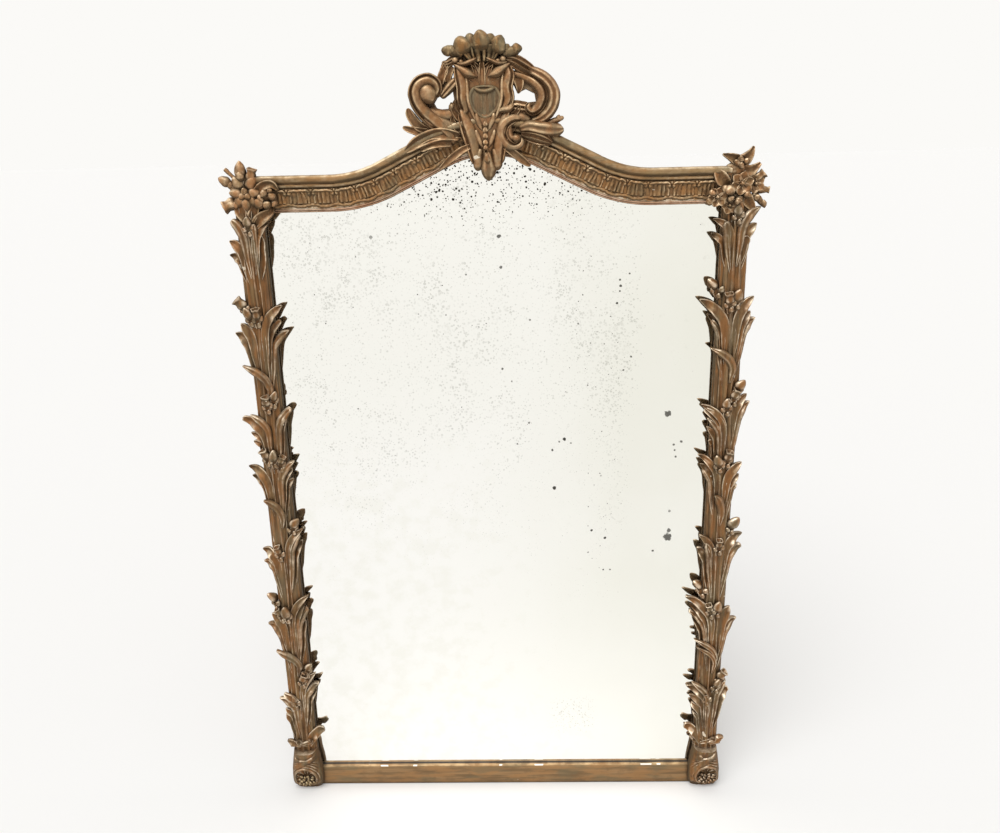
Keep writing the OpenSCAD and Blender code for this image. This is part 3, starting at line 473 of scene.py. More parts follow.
    def flower(self, x: float, z: float, depth: float, radius: float, petals: int, turn: float) -> None:
        """Carves an open flower that faces the room, with a ball in its middle.

        Args:
            x: Its middle across.
            z: Its middle's height.
            depth: Depth of its back.
            radius: From its middle to a petal's tip.
            petals: How many petals.
            turn: Angle of the first petal in degrees.
        """
        for i in range(petals):
            angle = math.radians(turn + 360 * i / petals)
            wide = radius * math.sin(math.pi / petals) * 0.92
            ribs = [
                (x + share * radius * math.cos(angle), z + share * radius * math.sin(angle), wide * width,
                 depth + low * radius, depth + high * radius)
                for share, width, low, high in ((0.06, 0.4, 0, 0.5), (0.45, 0.85, 0, 0.6), (0.75, 0.85, 0.1, 0.7),
                                                (1.04, 0.3, 0.2, 0.66))
            ]
            self.blade(ribs, CHANNEL, 0.3, 0, 20, 18)
        self.bud(x, z, depth + 0.55 * radius, 0.22 * radius, (0, 0, 1), 1.2, 5)

    def close(self) -> None:
        """Closes the skins and turns every face outwards."""
        open_edges = [edge for edge in self.mesh.edges if edge.is_boundary]
        if open_edges:
            bmesh.ops.holes_fill(self.mesh, edges=open_edges, sides=0)
        bmesh.ops.recalc_face_normals(self.mesh, faces=self.mesh.faces[:])
        self.mesh.normal_update()

    def piece(self, name: str, finish: Finish, nodes: Sequence[str],
              hand: float = 0.3) -> bpy.types.Object:
        """Closes the skins, gives them the unevenness of handwork and makes the object.

        Args:
            name: The piece's name.
            finish: Its material.
            nodes: The frame's nodes that it stands for.
            hand: Unevenness in millimetres.

        Returns:
            The finished object, riding on the frame.
        """
        self.close()
        for vert in self.mesh.verts:
            shift = noise.noise(vert.co * 0.13) + 0.4 * noise.noise(vert.co * 0.41)
            vert.co += vert.normal * (hand * shift)
            vert.co.z = max(vert.co.z, 0.0)
        bmesh.ops.scale(self.mesh, verts=self.mesh.verts[:], vec=(MM, MM, MM))
        for face in self.mesh.faces:
            face.smooth = True
        for edge in self.mesh.edges:
            edge.smooth = edge.calc_face_angle(0.0) < CREASE
        data = bpy.data.meshes.new(name)
        self.mesh.to_mesh(data)
        self.mesh.free()
        data.materials.append(finish)
        made = bpy.data.objects.new(name, data)
        bpy.context.scene.collection.objects.link(made)
        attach(made, FRAME_BODY)
        if nodes:
            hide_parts(*nodes)
        LOG.info("%s: %d faces", name, len(data.polygons))
        return made


# ---------- Finishes ----------


class Graph:
    """A node tree in the making, with short calls for the nodes that the finishes share."""

    def __init__(self, tree: bpy.types.NodeTree) -> None:
        """Works on one tree."""
        self.tree = tree

    def node(self, kind: str, **settings: object) -> bpy.types.Node:
        """Adds a node and sets its properties."""
        made = self.tree.nodes.new(kind)
        for key, value in settings.items():
            setattr(made, key, value)
        return made

    def feed(self, socket: Socket, value: Feed) -> None:
        """Links a socket, or sets its own value.

        Args:
            socket: The input to feed.
            value: Another node's output, a number or a list of numbers.
        """
        if isinstance(value, Socket):
            self.tree.links.new(value, socket)
        elif isinstance(value, (int, float)):
            socket.default_value = value
        else:
            plain = list(value)
            socket.default_value = plain + [1.0] if socket.type == "RGBA" and len(plain) == 3 else plain

    def math(self, operation: str, first: Feed, second: Feed = 0.0) -> Socket:
        """Adds a Math node and gives its result."""
        made = self.node("ShaderNodeMath", operation=operation)
        self.feed(made.inputs[0], first)
        self.feed(made.inputs[1], second)
        return made.outputs[0]

    def times(self, first: Feed, *others: Feed) -> Socket:
        """Multiplies values."""
        return reduce(partial(self.math, "MULTIPLY"), others, first)

    def most(self, first: Feed, *others: Feed) -> Socket:
        """Gives the largest of some values."""
        return reduce(partial(self.math, "MAXIMUM"), others, first)

    def rest(self, share: Feed) -> Socket:
        """Gives what a share leaves of 1."""
        return self.math("SUBTRACT", 1.0, share)

    def distance(self, value: Feed, place: float) -> Socket:
        """Gives how far a value lies from a place."""
        return self.math("ABSOLUTE", self.math("SUBTRACT", value, place))

    def vector(self, operation: str, *feeds: Feed, result: str = "Vector") -> Socket:
        """Adds a Vector Math node.

        Args:
            operation: What it does.
            feeds: What goes into its first inputs.
            result: The output that is wanted.

        Returns:
            That output.
        """
        made = self.node("ShaderNodeVectorMath", operation=operation)
        for socket, value in zip(made.inputs, feeds):
            self.feed(socket, value)
        return made.outputs[result]

    def axes(self, vector: Feed) -> Sequence[Socket]:
        """Splits a vector into its x, y and z."""
        made = self.node("ShaderNodeSeparateXYZ")
        self.feed(made.inputs[0], vector)
        return made.outputs

    def span(self, value: Feed, low: float, high: float, start: float = 0.0,
             end: float = 1.0) -> Socket:
        """Maps a range of values smoothly to another, and holds it at both ends."""
        made = self.node("ShaderNodeMapRange", interpolation_type="SMOOTHSTEP")
        for name, number in (("Value", value), ("From Min", low), ("From Max", high), ("To Min", start),
                             ("To Max", end)):
            self.feed(made.inputs[name], number)
        return made.outputs["Result"]

    def blend(self, share: Feed, first: Feed, second: Feed, kind: str = "MIX") -> Socket:
        """Blends two colours.

        Args:
            share: How much of the second shows.
            first: The colour below.
            second: The colour on top.
            kind: The way they blend.

        Returns:
            The blended colour.
        """
        made = self.node("ShaderNodeMix", data_type="RGBA", blend_type=kind)
        made.clamp_factor = True
        sockets = {socket.identifier: socket for socket in made.inputs}
        self.feed(sockets["Factor_Float"], share)
        self.feed(sockets["A_Color"], first)
        self.feed(sockets["B_Color"], second)
        return next(socket for socket in made.outputs if socket.identifier == "Result_Color")

    def place(self, scale: Sequence[float] = (1, 1, 1),
              shift: Sequence[float] = (0, 0, 0)) -> Socket:
        """Gives object coordinates, stretched and shifted."""
        where = self.node("ShaderNodeTexCoord").outputs["Object"]
        made = self.node("ShaderNodeMapping")
        self.feed(made.inputs["Vector"], where)
        self.feed(made.inputs["Scale"], scale)
        self.feed(made.inputs["Location"], shift)
        return made.outputs["Vector"]

    def noise(self, vector: Feed, scale: float, detail: float = 4.0,
              rough: float = 0.55) -> Socket:
        """Adds a noise and gives its value."""
        made = self.node("ShaderNodeTexNoise")
        for name, number in (("Vector", vector), ("Scale", scale), ("Detail", detail), ("Roughness", rough)):
            self.feed(made.inputs[name], number)
        return made.outputs[0]

    def bump(self, height: Feed, strength: float, distance: float) -> Socket:
        """Turns a height into a normal."""
        made = self.node("ShaderNodeBump")
        for name, number in (("Height", height), ("Strength", strength), ("Distance", distance)):
            self.feed(made.inputs[name], number)
        return made.outputs["Normal"]


def new_group(
    name: str, inputs: Iterable[tuple[str, str, Feed]], outputs: Iterable[tuple[str, str]]
) -> tuple[Graph, bpy.types.Node, bpy.types.Node]:
    """Starts a shader node group.

    Args:
        name: The group's name.
        inputs: Each input's name, socket type and default.
        outputs: Each output's name and socket type.

    Returns:
        The group's graph, its input node and its output node.
    """
    tree = bpy.data.node_groups.new(name, "ShaderNodeTree")
    for label, kind, value in inputs:
        socket = tree.interface.new_socket(label, in_out="INPUT", socket_type=kind)
        socket.default_value = value
    for label, kind in outputs:
        tree.interface.new_socket(label, in_out="OUTPUT", socket_type=kind)
    graph = Graph(tree)
    return graph, graph.node("NodeGroupInput"), graph.node("NodeGroupOutput")


@dataclass(frozen=True)
class Ageing:
    """How a carved surface ages, and where a painted highlight and a painted shade fall on it. A pattern is a noise's
    scale, detail and roughness.
    """

    grain: Pattern = (190.0, 5.0, 0.6)
    broad: Pattern = (22.0, 5.0, 0.6)
    fine: Pattern = (420.0, 4.0, 0.6)
    touch: Pattern = (64.0, 4.0, 0.6)
    warmth: Pattern = (80.0, 4.0, 0.6)
    baring: Pattern = (46.0, 6.0, 0.65)
    dusting: Pattern = (62.0, 4.0, 0.55)
    blunt: Triple = (0.2, 0.2, 0.2)
    # The way the light comes from: faces turned away from it count as sides and get a painted shade.
    front: Triple = (0.0, -0.78, 0.62)
    # The way a painted highlight comes from.
    glint: Triple = (-0.36, -0.56, 0.745)
    reach: float = 0.012

    def group(self) -> bpy.types.NodeTree:
        """Builds the group.

        Returns:
            A group that puts out the masks of worn edges that also carry a painted highlight, deep recesses that take
            dirt and a painted shade, bared patches, dust, sides turned from the light for a painted shade, warm
            streaks, upward faces, a painted highlight on faces turned to the light, a fine grain, and a height for a
            bump.
        """
        names = ("Worn And Lit", "Recess", "Patches", "Dust", "Sides", "Grain", "Height", "Warm", "Upward", "Painted Sheen")
        inputs = [
            ("Recess Reach", "NodeSocketFloat", self.reach),
            ("Streaks", "NodeSocketVector", (1.0, 1.0, 0.12)),
        ]
        outputs = [(name, "NodeSocketFloat") for name in names]
        graph, taken, given = new_group("aged surface", inputs, outputs)
        where = graph.node("ShaderNodeTexCoord").outputs["Object"]
        normal = graph.node("ShaderNodeTexCoord").outputs["Normal"]
        raised = graph.node("ShaderNodeNewGeometry").outputs["Pointiness"]
        streaks = taken.outputs["Streaks"]
        grain = graph.noise(graph.vector("MULTIPLY", where, streaks), *self.grain)
        fine = graph.noise(where, *self.fine)
        touched = graph.noise(graph.place(shift=(3.1, 0.0, 1.7)), *self.touch)
        facing = graph.vector("DOT_PRODUCT", normal, self.front, result="Value")
        # Sides: faces turned from the light, which the finish colours with a painted shade.
        sides = graph.span(facing, 0.1, 0.72, 1.0, 0.0)
        # Worn edges: raised edges where the gilding is worn bright, kept off the sides turned from the light, so wear
        # and a painted highlight at once.
        worn_and_lit = graph.times(
            graph.span(raised, 0.505, 0.56),
            graph.span(graph.noise(where, *self.broad), 0.32, 0.62, 0.25, 1.0),
            graph.span(touched, 0.36, 0.6, 0.2, 1.0),
            graph.span(sides, 0.2, 1.0, 1.0, 0.15),
        )
        # A painted highlight on faces turned towards the glint's way.
        painted_sheen = graph.times(
            graph.span(graph.vector("DOT_PRODUCT", normal, self.glint, result="Value"), 0.84, 0.99),
            graph.span(touched, 0.34, 0.62, 0.25, 1.0),
            graph.span(raised, 0.49, 0.515, 0.35, 1.0),
        )
        stretch = graph.vector("MAXIMUM", streaks, self.blunt)
        warm = graph.noise(graph.vector("MULTIPLY_ADD", where, stretch, (0.0, 0.0, 5.3)), *self.warmth)
        dust = graph.noise(graph.vector("MULTIPLY_ADD", where, stretch, (2.0, 0.0, 1.1)), *self.dusting)
        # Ambient occlusion and low pointiness find the recesses, which get dirt and a painted shade.
        shade = graph.node("ShaderNodeAmbientOcclusion", samples=6)
        graph.feed(shade.inputs["Distance"], taken.outputs["Recess Reach"])
        recess = graph.most(
            graph.span(graph.rest(shade.outputs["AO"]), 0.15, 0.75),
            graph.times(graph.span(raised, 0.44, 0.5, 1.0, 0.0), 0.75),
        )
        patches = graph.span(graph.noise(where, *self.baring), 0.5, 0.66)
        height = graph.math("ADD", graph.times(grain, 0.6), graph.times(fine, 0.4))
        masks = (worn_and_lit, recess, patches, graph.span(dust, 0.5, 0.62), sides, grain, height,
                 graph.span(warm, 0.45, 0.58), graph.axes(normal)["Z"], painted_sheen)
        for name, value in zip(names, masks):
            graph.feed(given.inputs[name], value)
        return graph.tree


class Workshop:
    """Keeps the node groups that the finishes share, so each is built once."""

    _wear: bpy.types.NodeTree | None = None

    @classmethod
    def wear(cls) -> bpy.types.NodeTree:
        """Gives the ageing group."""
        cls._wear = cls._wear or Ageing().group()
        return cls._wear


def new_material(name: str) -> tuple[Finish, Graph, bpy.types.Node]:
    """Starts a material with one Principled shader.

    Args:
        name: The material's name.

    Returns:
        The material, its graph and its shader.
    """
    made = bpy.data.materials.new(name)
    made.use_nodes = True
    made.node_tree.nodes.clear()
    graph = Graph(made.node_tree)
    shader = graph.node("ShaderNodeBsdfPrincipled")
    out = graph.node("ShaderNodeOutputMaterial")
    graph.feed(out.inputs["Surface"], shader.outputs[0])
    return made, graph, shader


@dataclass(frozen=True)
class AgedGilding:
    """Worn gilding on gesso, toned brown, with red clay showing through, dirt and a painted shade in its recesses, a
    painted shade on faces turned from the light, and a painted highlight on worn edges and faces turned to it.

    A chip is its place across and its half-length in millimetres, on the front edge of the bottom rail.
    """

    name: str
    gilt: Colour
    clay: Colour
    # Colour of dirt and a painted shade in the recesses.
    recess: Colour
    # Colour of worn bright edges and of the painted highlight.
    bright: Colour
    dust: Colour = (0.15, 0.13, 0.075)
    # Painted shade on faces turned from the light.
    shaded: Colour = (0.05, 0.034, 0.016)
    warm: Colour = (0.28, 0.13, 0.046)
    gesso: Colour = (0.72, 0.62, 0.48)
    white: Colour = (0.80, 0.76, 0.68)
    # Strength of the painted highlight on faces turned to the light.
    painted_sheen: float = 0.75
    dusty: float = 0.45
    lid: float = 0.0
    streaks: Triple = (1.0, 1.0, 0.1)
    metallic: float = 0.4
    specular: float = 0.28
    flaking: Pattern = (62.0, 2.0, 0.5)
    flakes: float = 0.735
    chipped: tuple[tuple[float, float], ...] = ()
    chip_edge: tuple[float, float] = (0.0362, 0.0370)
    chip_face: tuple[float, float] = (-0.0118, -0.0112)
    lid_back: tuple[float, float] = (-0.010, -0.007)

    def toned(self, graph: Graph, mask: dict[str, Socket]) -> Socket:
        """Lays clay, gold, warm streaks, dust, a painted shade on the sides, a painted highlight on worn edges and
        lit faces, and dirt with a painted shade in the recesses over each other.
        """
        colour = graph.blend(graph.span(mask["Grain"], 0.36, 0.66), self.clay, self.gilt)
        # Sides lay a painted shade, the worn edges and the glint a painted highlight, and the recesses dirt with a
        # painted shade.
        for name, share, layer in (
            ("Patches", 0.55, self.clay), ("Warm", 0.7, self.warm), ("Dust", self.dusty, self.dust),
            ("Sides", 0.72, self.shaded), ("Painted Sheen", self.painted_sheen, self.bright), ("Worn And Lit", 0.8, self.bright),
            ("Recess", 0.9, self.recess),
        ):
            colour = graph.blend(graph.times(mask[name], share), colour, layer)
        return colour

    def darkened(self, graph: Graph, colour: Feed, upward: Feed) -> Socket:
        """Darkens the top of a board behind its front edge."""
        back = graph.span(graph.axes(graph.place())["Y"], *self.lid_back)
        return graph.blend(graph.times(graph.span(upward, 0.6, 0.9), self.lid, back), colour, self.recess)

    def chip(self, graph: Graph, spot: float, reach: float) -> Socket:
        """Masks a place where the white ground shows.

        Args:
            graph: The material's graph.
            spot: Its place across, in millimetres.
            reach: Half its length, in millimetres.

        Returns:
            The chip's mask.
        """
        seat = graph.axes(graph.place())
        ragged = graph.times(graph.noise(graph.place(), 300.0), 0.006)
        away = graph.math("ADD", graph.distance(seat["X"], spot * MM), ragged)
        start = reach * MM + 0.002
        return graph.times(
            graph.span(away, start, start + 0.001, 1.0, 0.0),
            graph.span(seat["Z"], *self.chip_edge),
            graph.span(seat["Y"], *self.chip_face, 1.0, 0.0),
        )

    def material(self) -> Finish:
        """Builds the material."""
        made, graph, shader = new_material(self.name)
        wear = graph.node("ShaderNodeGroup", node_tree=Workshop.wear())
        graph.feed(wear.inputs["Streaks"], self.streaks)
        graph.feed(wear.inputs["Recess Reach"], Ageing.reach)
        mask = {socket.name: socket for socket in wear.outputs}
        colour = self.toned(graph, mask)
        if self.lid:
            colour = self.darkened(graph, colour, mask["Upward"])
        flakes = graph.span(graph.noise(graph.place(), *self.flaking), self.flakes, self.flakes + 0.01)
        flakes = graph.times(flakes, graph.rest(mask["Recess"]))
        colour = graph.blend(flakes, colour, self.gesso)
        for spot, reach in self.chipped:
            colour = graph.blend(self.chip(graph, spot, reach), colour, self.white)
        polish = graph.span(graph.most(mask["Worn And Lit"], mask["Painted Sheen"]), 0.0, 1.0, 0.5, 0.28)
        matt = graph.most(flakes, graph.times(mask["Sides"], 0.8))
        graph.feed(shader.inputs["Base Color"], colour)
        graph.feed(shader.inputs["Specular IOR Level"], self.specular)
        graph.feed(shader.inputs["Roughness"], graph.math("ADD", polish, graph.times(mask["Sides"], 0.3)))
        graph.feed(shader.inputs["Metallic"], graph.times(graph.rest(matt), self.metallic))
        graph.feed(shader.inputs["Normal"], graph.bump(mask["Height"], 0.35, 0.0006))
        return made


@dataclass(frozen=True)
class BarePine:
    """Old bare softwood with its grain along one direction."""

    name: str
    early: Colour
    late: Colour
    stain: Colour
    grain: Triple = (1.0, 1.0, 0.05)

    def material(self) -> Finish:
        """Builds the material."""
        made, graph, shader = new_material(self.name)
        lines = graph.noise(graph.place(self.grain), 130.0, 5.0, 0.55)
        blotches = graph.span(graph.noise(graph.place(), 9.0, 5.0, 0.6), 0.45, 0.72)
        pores = graph.span(graph.noise(graph.place(self.grain), 620.0, 3.0, 0.6), 0.58, 0.68)
        colour = graph.blend(graph.span(lines, 0.35, 0.65), self.early, self.late)
        colour = graph.blend(graph.times(blotches, 0.65), colour, self.stain)
        colour = graph.blend(graph.times(pores, 0.35), colour, self.stain)
        graph.feed(shader.inputs["Base Color"], colour)
        graph.feed(shader.inputs["Roughness"], graph.span(lines, 0.3, 0.7, 0.88, 0.72))
        graph.feed(shader.inputs["Normal"], graph.bump(lines, 0.25, 0.0008))
        return made


@dataclass(frozen=True)
class BlackIron:
    """Blackened iron with light rust."""

    name: str
    body: Colour = (0.035, 0.033, 0.031)
    rust: Colour = (0.16, 0.065, 0.03)

    def material(self) -> Finish:
        """Builds the material."""
        made, graph, shader = new_material(self.name)
        patches = graph.span(graph.noise(graph.place(), 160.0, 6.0, 0.65), 0.52, 0.68)
        graph.feed(shader.inputs["Base Color"], graph.blend(patches, self.body, self.rust))
        graph.feed(shader.inputs["Metallic"], graph.span(patches, 0.0, 1.0, 0.85, 0.1))
        graph.feed(shader.inputs["Roughness"], graph.span(patches, 0.0, 1.0, 0.45, 0.85))
        graph.feed(shader.inputs["Normal"], graph.bump(patches, 0.3, 0.0004))
        return made


@dataclass(frozen=True)
class SilveredPlate:
    """Old silvered glass: a faint tint, foxed specks, bigger black spots and a crazed patch.

    A spot is its place across, its height and its radius in millimetres, and its strength.
    """

    name: str
    clear: Colour = (0.985, 0.98, 0.955)
    tinted: Colour = (0.86, 0.855, 0.775)
    black: Colour = (0.03, 0.026, 0.02)
    grey: Colour = (0.2, 0.205, 0.16)
    stained: Colour = (0.45, 0.43, 0.36)
    peak: float = 1.075
    crazed: tuple[float, float] = (0.12, 0.135)
    spots: tuple[tuple[float, float, float, float], ...] = (
        (273, 474, 7.4, 0.85), (275, 486, 3.6, 0.8), (266, 684, 5.4, 0.85), (106, 645, 3.2, 0.95),
        (87, 627, 2.4, 0.85), (98, 641, 1.8, 0.7), (116, 638, 1.8, 0.6), (90, 563, 3.2, 0.95), (-178, 962, 2.6, 0.6),
        (188, 893, 2.0, 0.85), (189, 884, 2.2, 0.9), (188, 876, 1.6, 0.85), (184, 858, 2.0, 0.9),
        (202, 902, 1.8, 0.8), (207, 776, 2.0, 0.8), (196, 755, 2.0, 0.8), (172, 474, 2.4, 0.9), (150, 488, 2.2, 0.9),
        (250, 450, 2.2, 0.85), (170, 417, 1.7, 0.8), (181, 417, 1.7, 0.8), (289, 638, 2.4, 0.8), (277, 633, 1.9, 0.8),
        (279, 624, 1.9, 0.8), (281, 613, 2.1, 0.8), (275, 520, 2.4, 0.6), (51, 673, 2.0, 0.7), (11, 760, 2.0, 0.8),
        (25, 740, 1.8, 0.7), (32, 638, 1.8, 0.7), (-40, 905, 1.8, 0.7), (-215, 700, 1.6, 0.6), (54, 835, 2.0, 0.7),
        (10, 960, 3.0, 0.85), (12, 915, 2.6, 0.8),
    )

    def specks(self, graph: Graph, scale: float, size: Feed, rare: float) -> Socket:
        """Scatters dark specks of uneven size.

        Args:
            graph: The material's graph.
            scale: How close the specks lie.
            size: Their largest radius as a share of their spacing.
            rare: Share of the places that stay clear.

        Returns:
            A mask of the specks.
        """
        wobble = graph.node("ShaderNodeTexNoise")
        graph.feed(wobble.inputs["Vector"], graph.place())
        graph.feed(wobble.inputs["Scale"], scale * 1.7)
        small = graph.node("ShaderNodeVectorMath", operation="SCALE")
        graph.feed(small.inputs[0], wobble.outputs["Color"])
        graph.feed(small.inputs["Scale"], 0.35 / scale)
        cells = graph.node("ShaderNodeTexVoronoi", feature="F1")
        graph.feed(cells.inputs["Vector"], graph.vector("ADD", graph.place((1, 0, 1)), small.outputs[0]))
        graph.feed(cells.inputs["Scale"], scale)
        parts = graph.node("ShaderNodeSeparateColor")
        graph.feed(parts.inputs[0], cells.outputs["Color"])
        chosen = graph.math("GREATER_THAN", parts.outputs[0], rare)
        radius = graph.times(size, graph.math("MULTIPLY_ADD", parts.outputs[1], 0.8))
        edge = graph.math("SUBTRACT", radius, cells.outputs["Distance"])
        return graph.times(chosen, graph.span(edge, 0.0, 0.03))

    def near(self, graph: Graph, spot: Sequence[float]) -> Socket:
        """Masks one big spot with a ragged edge."""
        across, up, radius, strength = spot
        away = graph.vector("DISTANCE", graph.place((1, 0, 1)), (across * MM, 0.0, up * MM), result="Value")
        uneven = graph.math("SUBTRACT", graph.noise(graph.place(), 260.0, 4.0, 0.6), 0.5)
        reach = graph.math("ADD", away, graph.times(uneven, radius * 1.6 * MM))
        return graph.times(graph.span(reach, radius * 0.75 * MM, radius * MM, 1.0, 0.0), strength)

    def silvering(self, graph: Graph, right: Feed, up: Feed) -> Socket:
        """Colours the silver: yellower to the right and at the top, and faintly mottled."""
        cloud = graph.noise(graph.place(), 3.2, 3.0, 0.5)
        tint = graph.times(
            graph.span(right, -0.2, 0.34), graph.span(cloud, 0.3, 0.7, 0.6, 1.0),
            graph.span(up, 0.0, 0.55, 0.45, 1.0),
        )
        mottle = graph.span(graph.noise(graph.place(), 38.0, 6.0, 0.65), 0.4, 0.66, 0.0, 0.35)
        share = graph.most(tint, graph.span(up, 0.45, 0.8, 0.0, 0.4), mottle)
        return graph.blend(share, self.clear, self.tinted)

    def under_arch(self, graph: Graph, right: Feed, up: Feed) -> Socket:
        """Masks the glass close under the crown of the arch."""
        aside = graph.times(right, 0.36)
        below = graph.math("SUBTRACT", self.peak, up)
        squares = graph.math("ADD", graph.times(aside, aside), graph.times(below, below))
        return graph.span(graph.math("SQRT", squares), 0.02, 0.185, 1.0, 0.0)

    def foxing(self, graph: Graph, whole: Feed, fine: Feed, crown: Feed,
               dense: Feed) -> Socket:
        """Masks every black speck and spot.

        Args:
            graph: The material's graph.
            whole: Where sparse specks lie.
            fine: Where fine specks lie.
            crown: The place under the crown.
            dense: Where specks lie close.

        Returns:
            A mask of the black.
        """
        foxed = graph.most(
            graph.times(self.specks(graph, 95.0, graph.times(fine, 0.2), 0.6), 0.75),
            self.specks(graph, 120.0, graph.times(dense, 0.28), 0.42),
            self.specks(graph, 250.0, graph.times(crown, 0.4), 0.4),
            graph.times(self.specks(graph, 100.0, graph.times(whole, 0.18), 0.7), 0.8),
        )
        return graph.most(foxed, *(self.near(graph, spot) for spot in self.spots))

    def material(self) -> Finish:
        """Builds the material."""
        made, graph, shader = new_material(self.name)
        where = graph.axes(graph.place())
        right, up = where["X"], where["Z"]
        clumps = graph.span(graph.noise(graph.place(), 7.0, 4.0, 0.6), 0.42, 0.62)
        crown = self.under_arch(graph, right, up)
        beside = graph.times(
            graph.span(right, 0.05, 0.14), graph.span(up, 0.2, 0.5),
            graph.span(right, 0.19, 0.22, 1.0, 0.12),
        )
        upper = graph.times(graph.span(up, 0.42, 0.95), clumps)
        fine = graph.most(graph.times(upper, 0.9), graph.times(crown, 1.0), graph.times(beside, 0.85))
        whole = graph.times(
            graph.span(up, 0.3, 0.8, 0.3, 1.0), graph.span(clumps, 0.0, 1.0, 0.62, 1.0),
            graph.span(right, 0.19, 0.24, 1.0, 0.35),
        )
        dense = graph.most(crown, graph.times(beside, clumps, 0.5))
        foxed = self.foxing(graph, whole, fine, crown, dense)
        thin = graph.span(graph.noise(graph.place(), 50.0, 2.0, 0.5), 0.3, 0.7, 0.08, 0.32)
        faint = graph.times(self.specks(graph, 250.0, graph.times(whole, 0.5), 0.15), thin)
        patch = graph.times(
            graph.span(graph.distance(right, self.crazed[0]), 0.022, 0.05, 1.0, 0.0),
            graph.span(graph.distance(up, self.crazed[1]), 0.02, 0.045, 1.0, 0.0),
        )
        weave = self.specks(graph, 320.0, 0.36, 0.25)
        halo = graph.span(graph.noise(graph.place(), 60.0, 5.0, 0.7), 0.6, 0.75)
        colour = self.silvering(graph, right, up)
        for share, layer in (
            (graph.times(patch, weave, 0.5), self.stained), (graph.times(halo, fine, 0.22), self.stained),
            (faint, self.grey), (foxed, self.black),
        ):
            colour = graph.blend(share, colour, layer)
        graph.feed(shader.inputs["Base Color"], colour)
        graph.feed(shader.inputs["Metallic"], 1.0)
        graph.feed(shader.inputs["Roughness"], graph.span(foxed, 0.0, 1.0, 0.025, 0.5))
        return made


@dataclass(frozen=True)
class PaleFloor:
    """The studio's plain pale floor."""

    name: str = "pale floor"
    colour: Colour = (0.885, 0.88, 0.868)

    def material(self) -> Finish:
        """Builds the material."""
        made, graph, shader = new_material(self.name)
        graph.feed(shader.inputs["Base Color"], self.colour)
        graph.feed(shader.inputs["Roughness"], 0.9)
        return made


@dataclass(frozen=True)
class Finishes:
    """Every material of the mirror, built once."""

    gilt: Finish
    pale: Finish
    crest: Finish
    cap: Finish
    shield: Finish
    shell: Finish
    rail: Finish
    band: Finish
    bead: Finish
    fleck: Finish
    core: Finish
    boards: Finish
    iron: Finish
    plate: Finish

    @classmethod
    def mixed(cls) -> "Finishes":
        """Builds them all."""
        level, upright = (0.06, 1.0, 1.0), (1.0, 1.0, 0.6)
        # recess is dirt and a painted shade in the recesses; glint and dull are painted highlight colours for worn
        # edges and lit faces.
        recess, glint = (0.075, 0.04, 0.018), (0.80, 0.58, 0.34)
        dull = (0.50, 0.36, 0.19)
        chips = ((-214, 7), (-159, 4), (-7, 3), (61, 8), (250, 10), (272, 4))
        # Each gilding's third colour is its recess dirt and painted shade, and its fourth is for worn edges and its
        # painted highlight.
        return cls(
            gilt=AgedGilding(
                "aged gilding", (0.225, 0.135, 0.056), (0.13, 0.064, 0.025), (0.055, 0.03, 0.013),
                (0.93, 0.77, 0.57), warm=(0.28, 0.12, 0.036), painted_sheen=0.95,
            ).material(),
            pale=AgedGilding(
                "rubbed gilding", (0.29, 0.165, 0.068), (0.16, 0.078, 0.03), (0.045, 0.026, 0.012),
                (0.92, 0.70, 0.45), warm=(0.35, 0.155, 0.055), streaks=(1.0, 1.0, 0.5), flakes=0.78,
                dusty=0.2, painted_sheen=0.95,
            ).material(),
            cap=AgedGilding(
                "cap gilding", (0.29, 0.18, 0.075), (0.16, 0.09, 0.036), (0.045, 0.026, 0.012),
                (0.97, 0.79, 0.53), warm=(0.32, 0.165, 0.058), streaks=(0.1, 1.0, 1.0), flakes=0.78,
                dusty=0.5, painted_sheen=0.95,
            ).material(),
            crest=AgedGilding(
                "crest gilding", (0.33, 0.18, 0.078), (0.21, 0.10, 0.044), (0.105, 0.054, 0.024), glint,
                streaks=upright,
            ).material(),
            shield=AgedGilding(
                "dusty gilding", (0.21, 0.165, 0.095), (0.14, 0.10, 0.055), recess, dull,
                warm=(0.2, 0.11, 0.05),
            ).material(),
            shell=AgedGilding(
                "shell gilding", (0.18, 0.12, 0.052), (0.10, 0.055, 0.022), (0.022, 0.014, 0.007), dull,
                warm=(0.32, 0.15, 0.045), dusty=0.6, painted_sheen=0.45, flakes=0.8, streaks=(1.0, 1.0, 0.3),
            ).material(),
            rail=AgedGilding(
                "tan gilding", (0.32, 0.192, 0.088), (0.18, 0.108, 0.05), (0.02, 0.014, 0.01),
                (0.50, 0.34, 0.175), warm=(0.34, 0.18, 0.07), lid=1.0, streaks=level, flakes=0.74,
                chipped=chips,
            ).material(),
            band=AgedGilding(
                "band gilding", (0.36, 0.205, 0.085), (0.23, 0.12, 0.05), (0.085, 0.044, 0.018),
                (0.82, 0.62, 0.38), warm=(0.36, 0.17, 0.055), streaks=upright,
            ).material(),
            bead=AgedGilding(
                "copper gilding", (0.42, 0.225, 0.12), (0.30, 0.145, 0.075), recess, (0.80, 0.58, 0.42),
                warm=(0.36, 0.15, 0.06), streaks=level,
            ).material(),
            fleck=AgedGilding(
                "bright gilding", (0.52, 0.37, 0.18), (0.2, 0.12, 0.055), recess, (0.88, 0.74, 0.48),
                warm=(0.2, 0.12, 0.05),
            ).material(),
            core=BarePine("stained pine", (0.15, 0.115, 0.075), (0.085, 0.062, 0.04),
                          (0.05, 0.045, 0.035)).material(),
            boards=BarePine("bare pine", (0.36, 0.235, 0.13), (0.22, 0.13, 0.065),
                            (0.12, 0.08, 0.05)).material(),
            iron=BlackIron("black iron").material(),
            plate=SilveredPlate("silvered plate").material(),
        )


